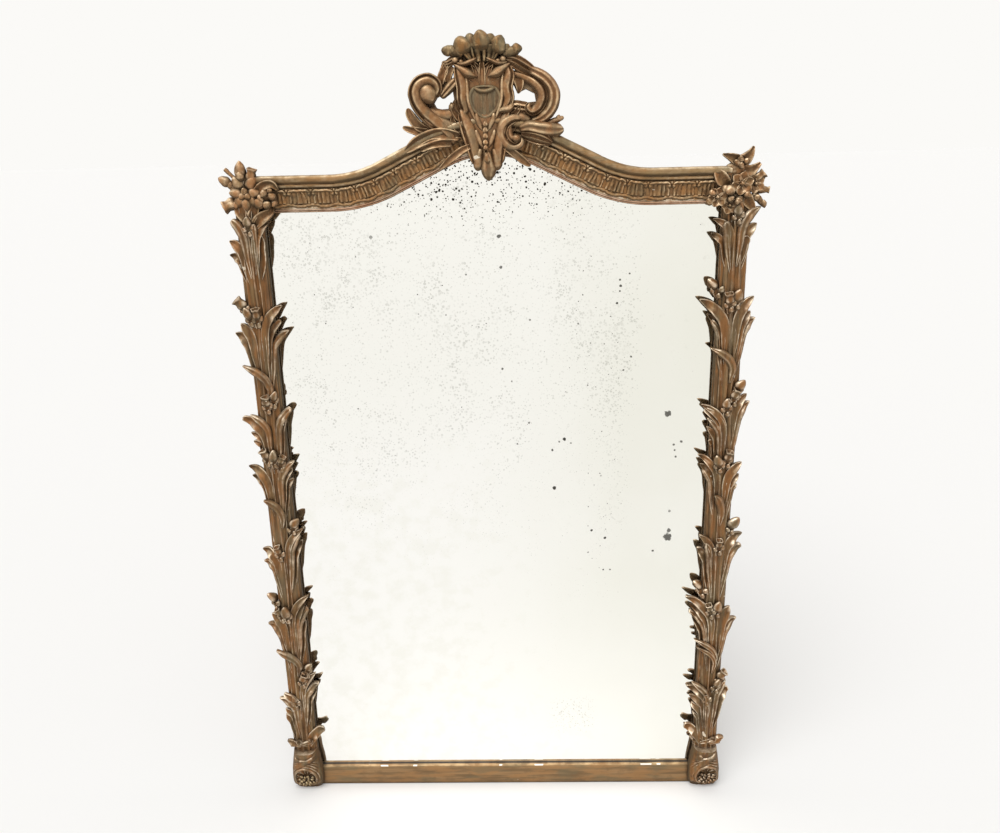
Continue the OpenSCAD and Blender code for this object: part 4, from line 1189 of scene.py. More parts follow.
def dress(node: str, finish: Finish) -> None:
    """Gives one of the frame's own nodes its material."""
    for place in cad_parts[node].material_slots:
        place.material = finish
    LOG.info("%s keeps its own mesh", node)


# ---------- Trunks, feet and sprays ----------


@dataclass(frozen=True)
class Trunk:
    """The face of a carved trunk, from which its leaves grow.

    Its section runs up one flank, over the face, down the other flank and back along the stile.
    """

    bench: Bench
    side: int
    edge_d: float = 28.0
    rise: float = 13.0
    leaf_half: float = 27.0
    flutes: float = 5.6
    flank: float = 0.04
    steps: tuple[int, int] = (150, 330)

    def face(self, x: float) -> float:
        """Depth of the trunk's round face at a distance from its middle."""
        return self.edge_d + self.rise * swell(x, self.bench.trunk_half)

    def bed(self, x: float) -> tuple[float, float]:
        """Depth and sideways slope of the wider round that leaves lie on."""
        share = clamp(abs(x) / self.leaf_half, 0, 0.95)
        lift = math.sqrt(1 - share**2)
        slope = math.copysign(clamp(self.rise * share / (self.leaf_half * lift), 0, 0.5), x)
        return self.edge_d + self.rise * swell(x, self.leaf_half), slope

    def groove(self, turn: float, z: float) -> float:
        """How far the uneven flutes lie under the trunk's round face.

        Args:
            turn: Angle round the face, from 0 to a half turn.
            z: Height.

        Returns:
            A depth, 0 or less.
        """
        seed = 3.0 * self.side
        wander = 0.10 * ripple(turn * 1.4, z / 190, seed) + 0.03 * ripple(turn * 4, z / 70, seed + 5)
        phase = (turn / math.pi + wander) * self.flutes
        deep = 2.9 + 0.9 * ripple(math.floor(phase + 0.5) * 3.1, z / 130, seed + 9)
        ridge = abs(math.cos(math.pi * phase)) ** 2.4
        fibre = 0.35 * abs(ripple(turn * 16, z / 60, seed + 2)) + 0.3 * ripple(turn * 34, z / 42, seed + 4)
        return (deep * (ridge - 1) - fibre) * math.sin(turn) ** 0.3

    def build(self, name: str, finishes: Finishes) -> None:
        """Carves the fluted trunk."""
        carving = Carving(self.bench)
        half, middle = self.bench.trunk_half, self.side * self.bench.trunk_x
        foot, top, core = self.bench.foot_top, self.bench.stile_top, self.bench.core_d
        face_end, back_start = 1 - 2 * self.flank, 1 - self.flank

        def place(share: float, rise: float) -> Vector:
            """Point of the trunk's skin."""
            z = mixed(foot, top, rise)
            if share <= self.flank:
                return self.bench.spot(middle + half, z, mixed(core, self.edge_d, share / self.flank))
            if share < face_end:
                turn = math.pi * (share - self.flank) / (face_end - self.flank)
                lift = self.groove(turn, z)
                x = (half + 0.6 * lift) * math.cos(turn)
                return self.bench.spot(middle + x, z, self.edge_d + (self.rise + lift) * math.sin(turn))
            if share < back_start:
                down = mixed(core, self.edge_d, (back_start - share) / self.flank)
                return self.bench.spot(middle - half, z, down)
            back = mixed(-half, half, (share - back_start) / (1 - back_start))
            return self.bench.spot(middle + back, z, core)

        carving.skin(*self.steps, place)
        carving.piece(name, finishes.gilt, [name.replace("carved_", "")], 0.2)


@dataclass(frozen=True)
class Spray:
    """Palm leaves and buds that grow out of a trunk.

    A leaf is its root's x and z, its tip's x and z, and its half-width, all from the trunk's middle and
    the spray's foot.
    A bud is its x, its z and its radius.
    """

    node: str
    side: int
    share: float
    leaves: tuple[Leaf, ...]
    buds: tuple[Bud, ...] = ()
    stem: float = 66.0

    def lone(self, leaf: Leaf) -> bool:
        """Tells whether a leaf grows by itself, high above the spray."""
        return leaf[1] > LONE_FROM

    def rank(self, leaf: Leaf) -> int:
        """How many leaves of the same side have lower tips."""
        return sum(1 for other in self.leaves if (other[2] > 0) == (leaf[2] > 0) and other[3] < leaf[3])

    def leaf_ribs(self, trunk: Trunk, leaf: Leaf, order: int) -> list[Rib]:
        """Ribs of one leaf: its stem runs up the trunk in a lane of its own, then peels away to the tip.

        Args:
            trunk: The trunk it grows from.
            leaf: The leaf.
            order: Its place in the spray.

        Returns:
            Ribs in the mirror's own place.
        """
        root_x, root_z, tip_x, tip_z, half = leaf
        middle, foot = self.origin(trunk)
        rank = self.rank(leaf)
        lane = math.copysign(max(15.5 - 4.2 * rank, 2.5), tip_x)
        lane = math.copysign(min(abs(lane), 0.8 * abs(tip_x)), tip_x)
        if self.lone(leaf):
            lane = -0.2 * tip_x
        blunt = (order + len(self.leaves)) % 4 == 0 and not self.lone(leaf)
        low = root_z - self.stem * (0.3 if self.lone(leaf) else 0.8 + 0.1 * (order % 3))
        spots = [
            (0.42 * lane, low, 0.25, -3.0), (0.7 * lane, mixed(low, root_z, 0.4), 0.55, -1.2),
            (0.92 * lane, mixed(low, root_z, 0.75), 0.8, 0.2),
            (1.03 * lane, mixed(root_z, tip_z, 0.12), 0.98, 1.6),
            (mixed(lane, tip_x, 0.12), mixed(root_z, tip_z, 0.45), 1.05, 3.2),
            (mixed(lane, tip_x, 0.36), mixed(root_z, tip_z, 0.7), 1.08, 4.6),
            (mixed(lane, tip_x, 0.68), mixed(root_z, tip_z, 0.88), 0.9 if blunt else 0.78, 6.4),
            (tip_x, tip_z, 0.55 if blunt else 0.1, 9.0),
        ]
        if not self.stem:
            spots = [(root_x, root_z, 0.7, 1.5)] + spots[4:]
        ribs = []
        for x, z, wide, lift in spots:
            bed, slope = trunk.bed(x)
            front = bed + lift + 0.5 * rank
            if self.lone(leaf):
                wide *= 0.7
            ribs.append((middle + x, foot + z, wide * half * 1.1, front - 8.5, front, slope))
        return ribs

    def origin(self, trunk: Trunk) -> tuple[float, float]:
        """Middle of the trunk and foot of the spray."""
        foot = trunk.bench.foot_top
        return self.side * trunk.bench.trunk_x, foot + self.share * (trunk.bench.sight_h - foot)

    def build(self, trunk: Trunk, finishes: Finishes) -> None:
        """Carves the spray."""
        carving = Carving(trunk.bench)
        middle, foot = self.origin(trunk)
        for order, leaf in enumerate(self.leaves):
            relief = DOUBLE if self.lone(leaf) or order % 3 == 2 else CHANNEL
            carving.blade(self.leaf_ribs(trunk, leaf, order), relief, 0.04, 0.04, 30, 56)
        for order, (x, z, radius) in enumerate(self.buds):
            stalk_x = 0.6 * x
            lean = Vector((x - 0.4 * stalk_x, 20.0, 6.0)).normalized()
            depth = trunk.bed(x)[0] + 0.3 * radius
            ribs = [
                (middle + stalk_x, foot + z - 24, 3.2, trunk.face(stalk_x) - 6, trunk.face(stalk_x) + 1),
                (middle + mixed(stalk_x, x, 0.5), foot + z - 13, 5.4, trunk.face(stalk_x) - 5, depth + 3),
                (middle + x, foot + z - 1, 4.6, depth - 5, depth + 3.5),
            ]
            carving.blade(ribs, CHANNEL, 0.1, 0.12, 16, 16)
            if (order + len(self.leaves)) % 2:
                carving.bell(middle + x, foot + z, depth, radius * 1.15, lean, 3 + order % 3)
            else:
                carving.bud(middle + x, foot + z, depth, radius * 1.2, lean, 1.5, 3 + order % 2)
            for side, drop, size in ((6.0, 7, 3.8), (-5.5, 11, 3.4), (2.0, 17, 3.6)):
                berry_x = mixed(stalk_x, x, 0.5) + side
                carving.bud(middle + berry_x, foot + z - drop, trunk.bed(berry_x)[0] + 1.5, size,
                            (0.3 * side, 4, 1), 1.35, 2)
        carving.piece("carved_" + self.node, finishes.gilt, [self.node], 0.35)


@dataclass(frozen=True)
class Foot:
    """A bulbous foot block with a hooded hollow, ribs and crossing ribbons.

    A stroke is its start x and z, its end x and z, its half-width and its height, from the foot's middle.
    A ring is its radius about the hollow, its half-width and its height. A petal's rib is its share of the
    hollow's radius, its half-width, and its back and front over the hollow's floor.
    """

    bench: Bench
    side: int
    strokes: tuple[tuple[float, ...], ...]
    pit_x: float
    pit_z: float = 24.0
    pit_r: float = 18.5
    pit_tall: float = 1.16
    pit_d: float = 9.0
    petals: int = 9
    petal_sweep: tuple[float, float] = (-38, 218)
    petal: tuple[Rib, ...] = ((0.3, 2.2, -3, 2.0), (0.62, 4.0, -3, 3.4), (0.88, 4.2, -2, 5.2), (1.04, 2.4, 0, 6.2))
    flecks: int = 17
    rings: tuple[Rib, ...] = ((21.0, 3.0, 5.0), (25.4, 2.0, 4.2), (29.2, 2.0, 3.8), (33.0, 2.0, 3.4),
                              (36.8, 2.0, 3.0))
    half: float = 27.0
    stand: float = 20.0
    edge: float = 0.4
    flank: float = 0.1
    outline: tuple[Rib, ...] = ((0, 0.80), (7, 0.95), (23, 1.0), (41, 0.97), (62, 0.86), (82, 0.745))

    def carved(self, x: float, z: float) -> float:
        """Height of the carving over the block's plain face."""
        away = math.hypot(x - self.pit_x, (z - self.pit_z) / self.pit_tall)
        above = ease((z - self.pit_z + 10) / 14)
        lift = -self.pit_d * ease((self.pit_r - away) / 5) * ease(z / 10)
        if away > self.pit_r:
            for ring, width, high in self.rings:
                lift = max(lift, high * above * swell(away - ring, width))
        if away > self.pit_r - 1:
            for *ends, width, high in self.strokes:
                hill = 0.75 * high * swell(to_stroke(x, z, ends), width)
                lift = max(lift, hill) if hill > 0 else lift
        neck = 9.0 * ease((z - 56) / 24)
        return lift + neck + 0.8 * ripple(x / 6, z / 9, 2.0 * self.side)

    def block(self, carving: Carving) -> None:
        """Carves the block: a domed face between two flanks and a flat back."""
        middle, core = self.side * self.bench.trunk_x, self.bench.core_d
        widths = Line(self.outline)
        tall = self.outline[-1][0]
        face_end, back_start = 0.85, 0.95

        def place(share: float, rise: float) -> Vector:
            """Point of the block's skin."""
            z = rise * tall
            half = self.half * widths.rib(rise)[1]
            reach = self.stand * (0.45 + 0.55 * ease(z / 17)) * (1 - 0.1 * ease((z - 62) / 20))
            if share <= self.flank:
                return self.bench.spot(middle + half, z, core + self.edge * reach * share / self.flank)
            if share < face_end:
                side = math.cos(math.pi * (share - self.flank) / (face_end - self.flank))
                dome = self.edge + (1 - self.edge) * (1 - abs(side) ** 2.6) ** 0.55
                lift = self.carved(half * side, z) * (1 - abs(side) ** 6)
                return self.bench.spot(middle + half * side, z, core + dome * reach + lift)
            if share < back_start:
                down = self.edge * reach * (back_start - share) / self.flank
                return self.bench.spot(middle - half, z, core + down)
            back = mixed(-half, half, (share - back_start) / (1 - back_start))
            return self.bench.spot(middle + back, z, core)

        carving.skin(130, 110, place)

    def build(self, name: str, finishes: Finishes) -> None:
        """Carves the foot block, the petals in its hollow and the flecks between them."""
        carving = Carving(self.bench)
        self.block(carving)
        node = name.replace("carved_", "")
        centre = self.side * self.bench.trunk_x + self.pit_x
        floor_d = self.bench.core_d + self.stand - 8
        first, last = self.petal_sweep
        for i in range(self.petals):
            angle = math.radians(first + (last - first) * i / (self.petals - 1))
            ribs = []
            for share, half, low, high in self.petal:
                across, up = share * self.pit_r * math.cos(angle), share * self.pit_r * math.sin(angle)
                ribs.append((centre + across, self.pit_z + self.pit_tall * up, half, floor_d + low, floor_d + high))
            carving.blade(ribs, CHANNEL, 0.25, 0.1, 20, 20)
        carving.piece(name, finishes.gilt, [node], 0.3)
        flecks = Carving(self.bench)
        for i in range(self.flecks):
            angle = math.radians(GOLDEN_ANGLE * i)
            reach = 2.9 * math.sqrt(i + 1)
            x, z = centre + 1.3 * reach * math.cos(angle), self.pit_z - 5 + 0.95 * reach * math.sin(angle)
            low = 7.0 * ease((13 - z) / 12)
            lean = (math.cos(angle), math.sin(angle), 0.5)
            size = (1.8 + 0.5 * (i % 3)) if self.side < 0 else 2.4
            flecks.bud(x, z, floor_d + 4.2 + 0.8 * (i % 2) - low, size, lean, 1.3, 3)
        finish = finishes.fleck if self.side < 0 else finishes.gilt
        flecks.piece(name + "_rosette", finish, [node + "_rosette"])


LEFT_STROKES = (
    (-22, 48, 26, 76, 6, 6.4), (-27, 74, -4, 60, 5.5, 4.2), (4, 54, 22, 38, 5, 4.4), (8, 52, 23, 24, 2.6, 3.2),
    (1, 48, 18, 20, 2.6, 2.8), (-24, 12, -18, 44, 4, 3.6), (-16, 42, -4, 56, 3.4, 3), (22, 12, 24, 36, 3.4, 3),
)
RIGHT_STROKES = (
    (-25, 30, -8, 52, 7, 5.4), (-8, 52, 23, 78, 7, 6.6), (-24, 58, -10, 70, 5, 3.6), (10, 50, 23, 36, 4.6, 3.6),
    (22, 38, 24, 16, 4, 3.8), (14, 46, 20, 56, 3.4, 3), (-24, 12, -17, 30, 4, 3.6), (18, 60, 20, 44, 3, 2.8),
)

SPRAYS = (
    Spray("left_top_palm", -1, 0.92, (
        (-6, 0, -34, 16, 5), (-4, 8, -32, 36, 6), (-8, 25, -24, 66, 6), (4, 6, 18, 44, 6), (2, 20, 29, 62, 6),
        (4, 30, 10, 60, 4)), ((0, 62, 5),), 46.0),
    Spray("left_palm_1", -1, 0.77, (
        (-5, 0, -39, 38, 6), (-4, 15, -29, 52, 6), (5, 0, 43, 40, 6), (4, 10, 32, 55, 5), (3, 25, 36, 78, 6)),
        ((-24, 82, 7), (-14, 68, 6), (-1, 67, 6))),
    Spray("left_palm_2", -1, 0.62, (
        (3, 84, -33, 125, 8), (-6, 0, -43, 42, 6), (-5, 14, -30, 47, 5), (-9, -2, -32, 18, 4), (-11, -6, -30, 4, 3.5),
        (4, 5, 34, 56, 6), (5, 0, 28, 48, 5)), ((0, 70, 6), (12, 78, 5))),
    Spray("left_palm_3", -1, 0.535, (
        (-6, 0, -42, 41, 6), (-7, -2, -38, 25, 5), (4, 4, 32, 48, 6), (5, 0, 27, 35, 5), (8, -2, 28, 18, 5)),
        ((-11, 62, 6), (2, 60, 6), (13, 52, 5))),
    Spray("left_palm_4", -1, 0.38, (
        (0, 92, -22, 127, 8), (5, 25, 34, 73, 5), (4, 15, 28, 64, 6), (5, 5, 32, 53, 6), (-5, 10, -35, 40, 6),
        (-6, -2, -35, 18, 5)), ((23, 85, 6), (-7, 40, 5))),
    Spray("left_palm_5", -1, 0.237, (
        (4, 30, 33, 85, 5), (5, 15, 26, 71, 6), (4, 8, 30, 61, 6), (5, 0, 25, 40, 6), (-4, 12, -32, 52, 6),
        (-6, 0, -40, 34, 6)), ((-29, 80, 6), (-17, 58, 5), (-5, 58, 7))),
    Spray("left_palm_6", -1, 0.09, (
        (-2, 86, -31, 117, 8), (4, 25, 32, 72, 5), (4, 15, 36, 51, 6), (6, 5, 31, 38, 5), (-4, 10, -26, 33, 5),
        (-5, 0, -35, 23, 6), (-9, -19, -26, 3, 4), (-9, -30, -27, -10, 4)),
          ((22, 85, 5), (12, 67, 6), (-7, 24, 4))),
    Spray("left_base_leaves", -1, 0.012, (
        (8, 0, 37, 30, 7), (-5, 0, -30, 6, 5), (-6, 2, 14, 14, 4), (8, 0, -8, 14, 4)), (), 0.0),
    Spray("right_top_palm", 1, 0.93, (
        (-4, 15, -33, 44, 5), (-6, 0, -35, 23, 5), (-3, 10, -17, 40, 6), (5, 5, 30, 37, 6), (3, 0, 16, 20, 5),
        (5, 20, 34, 60, 6)), ((0, 56, 5),), 46.0),
    Spray("right_palm_1", 1, 0.78, (
        (-4, 10, -47, 66, 7), (-5, 0, -35, 44, 5), (-4, -3, -28, 36, 5), (5, 15, 33, 70, 6), (5, 5, 29, 48, 6),
        (6, 0, 37, 38, 6)), ((-28, 88, 6), (-5, 68, 6), (7, 72, 6))),
    Spray("right_palm_2", 1, 0.62, (
        (2, 105, -28, 140, 8), (5, 20, 32, 68, 5), (5, 8, 37, 56, 6), (-5, 10, -37, 52, 5), (-4, 0, -32, 45, 6),
        (-8, -6, -27, 30, 5), (-9, -14, -27, 16, 5), (-12, -16, -24, -5, 4)),
        ((20, 83, 6), (12, 70, 6), (0, 55, 5))),
    Spray("right_palm_3", 1, 0.525, (
        (-4, 10, -38, 58, 5), (-5, 2, -34, 42, 6), (-6, 0, -30, 33, 5), (4, 5, 31, 45, 6), (6, 0, 28, 25, 5),
        (10, -4, 24, 10, 4)), ((-8, 50, 6), (7, 58, 6))),
    Spray("right_palm_4", 1, 0.375, (
        (6, 94, -11, 131, 8), (6, 21, 39, 62, 6), (5, 5, 39, 41, 6), (-4, 20, -30, 59, 5), (-6, 0, -32, 36, 6),
        (-3, 10, -20, 48, 6)), ((24, 81, 7), (1, 47, 5))),
    Spray("right_palm_5", 1, 0.227, (
        (-4, 30, -47, 84, 6), (-4, 18, -40, 70, 6), (-5, 8, -40, 58, 5), (-6, 0, -34, 45, 5), (7, 12, 26, 68, 7),
        (6, 0, 39, 45, 6)), ((-27, 104, 6), (-8, 67, 5), (5, 70, 6))),
    Spray("right_palm_6", 1, 0.085, (
        (0, 100, -30, 137, 6), (2, 90, -26, 124, 6), (4, 10, 28, 57, 5), (5, 0, 33, 40, 6), (-4, 10, -38, 45, 6),
        (-3, 15, -30, 53, 5), (-5, 0, -33, 27, 6), (-7, -15, -29, 10, 5), (-8, -26, -26, -5, 4)),
        ((19, 70, 6), (12, 55, 5), (-6, 30, 4))),
    Spray("right_base_leaves", 1, 0.012, (
        (-8, 0, -38, 32, 7), (-5, 2, -33, 14, 5), (5, 0, 31, 8, 6), (-10, 0, 12, 14, 4)), (), 0.0),
)


@dataclass(frozen=True)
class Uprights:
    """Both trunks with their feet and sprays."""

    bench: Bench

    def build(self, finishes: Finishes) -> None:
        """Carves both sides."""
        for side, hand, strokes, pit_x in ((-1, "left", LEFT_STROKES, -2.0), (1, "right", RIGHT_STROKES, 4.0)):
            trunk = Trunk(self.bench, side)
            trunk.build(f"carved_{hand}_trunk", finishes)
            Foot(self.bench, side, strokes, pit_x).build(f"carved_{hand}_foot", finishes)
            for spray in SPRAYS:
                if spray.side == side:
                    spray.build(trunk, finishes)


# ---------- Corners ----------


@dataclass(frozen=True)
class Corners:
    """The bunches of flowers on the top corners, measured from the trunk's middle and the stile's top."""

    bench: Bench

    def lifted(self, side: int, ribs: Sequence[Rib]) -> list[Rib]:
        """Moves ribs drawn at the corner, with depths over the core, to their own place."""
        middle, top, core = side * self.bench.trunk_x, self.bench.stile_top, self.bench.core_d
        return [(x + middle, z + top, half, back + core, front + core) for x, z, half, back, front in ribs]

    def base(self, side: int, x: float, z: float, over: float) -> Triple:
        """Turns a corner's place and a depth over the core into x, z and depth."""
        return x + side * self.bench.trunk_x, z + self.bench.stile_top, over + self.bench.core_d

    def berries(self, carving: Carving, side: int, stretch: float, spots: Sequence[Rib]) -> None:
        """Scatters small buds that lean every way.

        Args:
            carving: The piece they belong to.
            side: The corner.
            stretch: Half their length as a share of the radius.
            spots: Each x, z, depth over the core and radius.
        """
        for x, z, over, radius in spots:
            lean = (math.cos(x), math.sin(x), 0.8)
            carving.bud(*self.base(side, x, z, over), radius, lean, stretch)

    def left(self, finishes: Finishes) -> None:
        """Carves the left bunch."""
        carving = Carving(self.bench)
        at = partial(self.base, -1)
        for angle, reach, over, size, out, stretch in (
            (8, 13, 15, 8.2, 0.35, 1.3), (58, 18, 13, 9, 0.35, 1.3), (122, 18, 13, 9, 0.35, 1.3),
            (172, 13, 15, 8.4, 0.35, 1.3), (222, 13, 14, 8.2, 0.35, 1.3), (272, 13, 16, 7.8, 0.35, 1.3),
            (320, 13, 14, 8, 0.35, 1.3), (90, 5, 20, 5, 1, 1.1), (210, 5, 20, 5, 1, 1.1), (330, 5, 20, 5, 1, 1.1),
        ):
            turn = math.radians(angle)
            x, z = math.cos(turn), math.sin(turn)
            carving.bud(*at(1 + reach * x, -19 + reach * z, over), size, (x, z, out), stretch)
        for ribs, relief in (
            ([(-2, -8, 9, 2, 14), (-3, 2, 11, 2, 16), (-3, 10, 8, 4, 16)], ROUND),
            ([(8, -2, 6, 2, 14), (14, -8, 9, 2, 16), (20, -12, 8, 4, 16)], ROUND),
            ([(14, -22, 6, 6, 20), (22, -12, 7, 8, 26), (32, -6, 6.5, 10, 28), (42, -6, 5, 12, 26),
              (48, -14, 2.5, 12, 22)], CHANNEL),
            ([(18, -26, 8, 4, 18), (30, -22, 9, 5, 22), (42, -18, 5, 6, 20)], ROUND),
            ([(-14, -32, 6, 6, 18), (-8, -44, 9, 6, 20), (3, -62, 5, 6, 18)], CHANNEL),
            ([(14, -34, 6, 4, 21), (9, -46, 8, 4, 22), (3, -60, 4, 5, 19)], CHANNEL),
            ([(6, -66, 6, 4, 19), (18, -54, 9, 5, 23), (33, -44, 6, 6, 21), (36, -38, 3, 6, 18)],
             CHANNEL),
            ([(-20, -14, 6, 4, 15), (-12, -8, 6, 4, 17), (-6, -4, 5, 5, 16)], ROUND),
        ):
            carving.blade(self.lifted(-1, ribs), relief, 0.16, 0.1)
        carving.bud(*at(-4, 14, 13), 8.4, (0, 1, 0.15), 1.65)
        carving.bud(*at(-4, 7, 17), 6.6, (0.1, 1, 0.3), 1.2, 2)
        carving.blade(self.lifted(-1, [(-12, 2, 3, 8, 14), (-20, 10, 2.6, 9, 14), (-27, 17, 3.0, 9, 14)]),
                      tip=0.12)
        carving.bud(*at(-28, 0, 12), 7.4, (-1, 0.62, 0.15), 1.4)
        carving.bud(*at(-21, -5, 12), 5.4, (-1, 0.62, 0.15), 1.3, 0)
        carving.bell(*at(11, 8, 13), 7.2, (0.3, 1, 0.15), 4)
        carving.bell(*at(-23, -33, 12), 9.2, (-1, -0.45, 0.3), 3)
        self.berries(carving, -1, 1.25, (
            (29, -18, 23, 5.6), (40, -22, 22, 5.4), (21, -31, 22, 6.6), (32, -33, 22, 5.8), (24, -25, 20, 5.6),
            (-14, -33, 16, 5), (42, -32, 20, 4.2), (38, -14, 23, 4),
        ))
        carving.piece("carved_left_corner_flowers", finishes.pale, ["left_corner_flowers"],
                      0.7)

    def right(self, finishes: Finishes) -> None:
        """Carves the right bunch."""
        carving = Carving(self.bench)
        at = partial(self.base, 1)
        for x, z, over, *shape in ((3, -18, 13, 16, 6, 18), (23, -19, 10, 13, 5, 40), (-30, -36, 13, 14, 6, 10),
                                   (-12, -48, 12, 12, 5, 30)):
            carving.flower(*at(x, z, over), *shape)
        for ribs, relief, tip in (
            ([(3, 9, 7, 6, 17), (-5, 14, 8, 7, 20), (-14, 18, 5.5, 8, 20), (-25, 22, 1.2, 10, 16)],
             CHANNEL, 0.03),
            ([(-3, 9, 7, 6, 17), (5, 13, 9, 7, 20), (12, 20, 6.5, 8, 20), (18, 32, 1.2, 10, 16)],
             CHANNEL, 0.03),
            ([(0, 2, 6, 6, 18), (15, -1, 8, 8, 20), (29, 9, 2.2, 8, 15)], CHANNEL, 0.05),
            ([(-2, -8, 9, 2, 17), (-2, 2, 11, 3, 18), (-1, 12, 8, 4, 19)], ROUND, 0.2),
            ([(-16, -8, 8, 2, 15), (-12, 0, 9, 3, 16), (-5, 8, 6, 4, 16)], ROUND, 0.2),
            ([(-12, -22, 6, 4, 18), (-22, -14, 10, 6, 21), (-29, -5, 8, 8, 21), (-33, 2, 3, 9, 17)],
             CHANNEL, 0.1),
            ([(14, -22, 6, 3, 17), (28, -27, 5.5, 4, 16), (39, -28, 4, 6, 13)], ROUND, 0.2),
            ([(22, -14, 6, 4, 16), (30, -12, 6, 5, 15), (34, -5, 4.5, 7, 13)], ROUND, 0.2),
            ([(20, -32, 5, 4, 16), (30, -40, 4.5, 5, 15), (36, -48, 3.5, 6, 12)], ROUND, 0.2),
            ([(6, -30, 7, 3, 20), (14, -42, 9, 4, 20), (24, -56, 3.5, 6, 17)], CHANNEL, 0.08),
            ([(-12, -32, 7, 3, 19), (-8, -46, 9, 4, 20), (2, -64, 4, 6, 18)], CHANNEL, 0.08),
            ([(2, -34, 6, 3, 18), (2, -48, 8, 4, 18), (4, -62, 5, 6, 17)], ROUND, 0.1),
        ):
            carving.blade(self.lifted(1, ribs), relief, tip, 0.1)
        for x, z, over, radius in ((-1, 15, 19, 4.2), (7, 12, 19, 3.6), (-6, 10, 19, 4.0), (0, 6, 20, 4)):
            carving.bud(*at(x, z, over), radius, (0.4 * x, 3, 2), 1.3, 2)
        carving.bell(*at(29, -9, 12), 6.4, (1, 0.9, 0.3), 5)
        carving.bell(*at(38, -27, 10), 4.8, (1, -0.1, 0.1), 3)
        carving.bud(*at(37, -47, 10), 4.4, (0.3, -1, 0), 1.4, 2)
        self.berries(carving, 1, 1.2, (
            (-15, -27, 24, 7), (-21, -25, 22, 5), (-42, -42, 20, 5), (-2, -42, 22, 5), (-38, -30, 20, 4.6),
            (-12, -38, 21, 4.6), (12, -34, 20, 5), (26, -38, 16, 4.6),
        ))
        carving.piece("carved_right_corner_flowers", finishes.pale, ["right_corner_flowers"],
                      0.7)

    def build(self, finishes: Finishes) -> None:
        """Carves both bunches."""
        self.left(finishes)
        self.right(finishes)


# ---------- Rails and mouldings ----------


